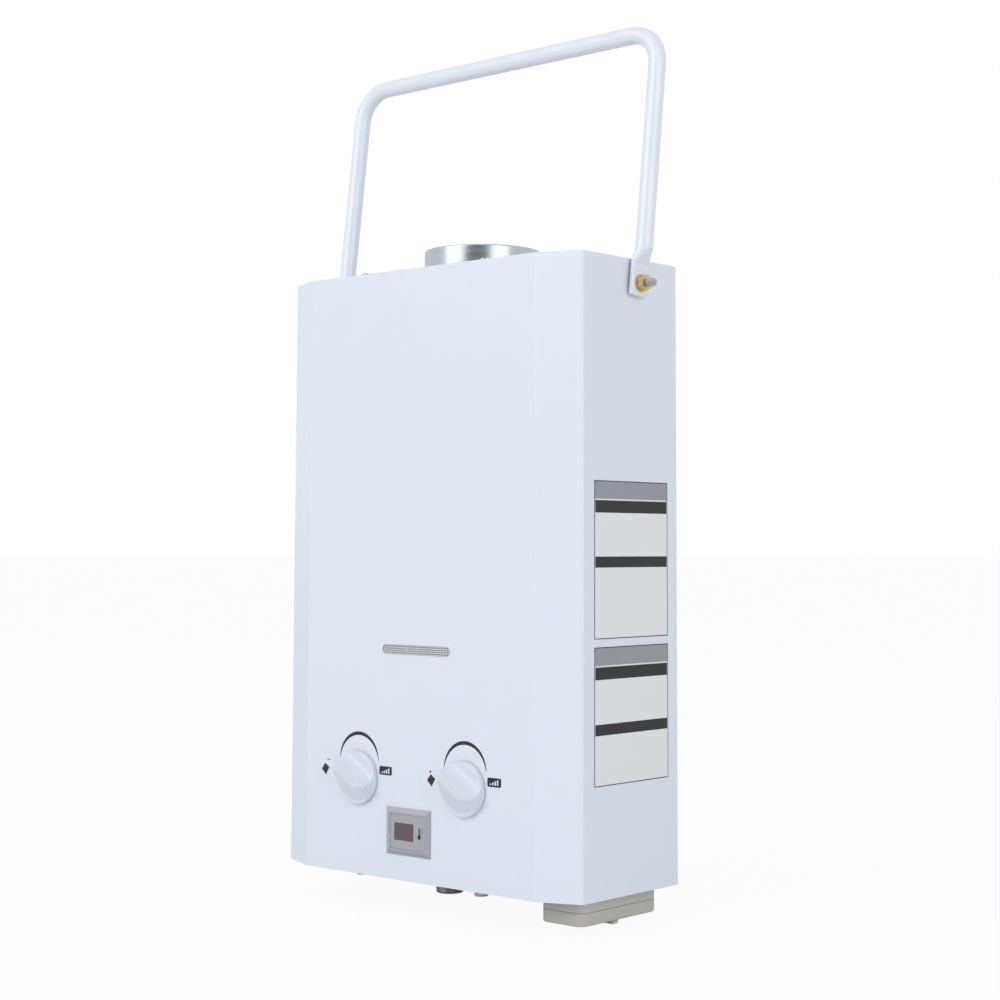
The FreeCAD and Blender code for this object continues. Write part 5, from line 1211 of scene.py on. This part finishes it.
def camera_axes():
    """The camera's axes, from its turn, tilt and roll."""
    turn = math.radians(CAMERA_TURN)
    tilt = math.radians(CAMERA_TILT)
    roll = math.radians(CAMERA_ROLL)
    forward = Vector((-math.sin(turn) * math.cos(tilt), math.cos(turn) * math.cos(tilt), -math.sin(tilt)))
    right = forward.cross(Vector((0, 0, 1))).normalized()
    upward = right.cross(forward)
    right_rolled = right * math.cos(roll) + upward * math.sin(roll)
    up_rolled = upward * math.cos(roll) - right * math.sin(roll)
    return Matrix((right_rolled, up_rolled, -forward)).transposed().to_4x4()


class HEATER_OT_stage(bpy.types.Operator):
    """Set the floor, the soft lights and the camera"""
    bl_idname = "heater.stage"
    bl_label = "Stage"

    def execute(self, context):
        settings = context.scene.heater_stage
        scene = context.scene
        bm = bmesh.new()
        bmesh.ops.create_grid(bm, x_segments=1, y_segments=1, size=FLOOR_SIZE)
        bmesh.ops.translate(bm, verts=bm.verts, vec=(0, 0, CAD_BOX[0][2] - FLOOR_DROP))
        data = bpy.data.meshes.new("floor")
        bm.to_mesh(data)
        bm.free()
        data.materials.append(pale_floor())
        floor = linked("floor", data)
        scene.world = room(settings)

        for name, stand, size, power in LAMPS:
            light = bpy.data.lights.new(name, "AREA")
            light.shape = "SQUARE"
            light.size = size
            light.energy = getattr(settings, power)
            lamp = linked(name, light)
            lamp.location = stand
            lamp.rotation_euler = (LAMP_AIM - Vector(stand)).to_track_quat("-Z", "Y").to_euler()

        lens = bpy.data.cameras.new("view")
        lens.lens = settings.focal_length
        lens.sensor_width = 36.0
        lens.shift_x = SHIFT_X
        lens.shift_y = SHIFT_Y
        lens.clip_start = 0.01
        camera = linked("view", lens)
        camera.matrix_world = Matrix.Translation(CAMERA_PLACE) @ camera_axes()
        scene.camera = camera
        scene.view_settings.view_transform = "Standard"
        return {"FINISHED"}


OPERATORS = (
    HEATER_OT_finishes, HEATER_OT_knobs, HEATER_OT_bezel, HEATER_OT_marks, HEATER_OT_stickers,
    HEATER_OT_display, HEATER_OT_mesh, HEATER_OT_fittings, HEATER_OT_pivot_bolts, HEATER_OT_stage,
)


class HEATER_PT_panel(bpy.types.Panel):
    """The heater's pieces, in the order they are made"""
    bl_label = "Portable Water Heater"
    bl_idname = "HEATER_PT_panel"
    bl_space_type = "VIEW_3D"
    bl_region_type = "UI"
    bl_category = "Heater"

    def draw(self, context):
        for name, group in SETTINGS.items():
            column = self.layout.column(align=True)
            for key in group.__annotations__:
                column.prop(getattr(context.scene, name), key)
        for operator in OPERATORS:
            self.layout.operator(operator.bl_idname)


def register():
    for group in SETTINGS.values():
        bpy.utils.register_class(group)
    for name, group in SETTINGS.items():
        setattr(bpy.types.Scene, name, PointerProperty(type=group))
    for operator in OPERATORS:
        bpy.utils.register_class(operator)
    bpy.utils.register_class(HEATER_PT_panel)


def unregister():
    bpy.utils.unregister_class(HEATER_PT_panel)
    for operator in reversed(OPERATORS):
        bpy.utils.unregister_class(operator)
    for name, group in SETTINGS.items():
        delattr(bpy.types.Scene, name)
        bpy.utils.unregister_class(group)


def dress_heater():
    """Run every step in order."""
    register()
    TREES["thread"] = thread_tree()
    TREES["wire"] = wire_tree()
    for operator in OPERATORS:
        step = getattr(bpy.ops.heater, operator.bl_idname.split(".")[1])
        step()


if __name__ == "__main__":
    dress_heater()
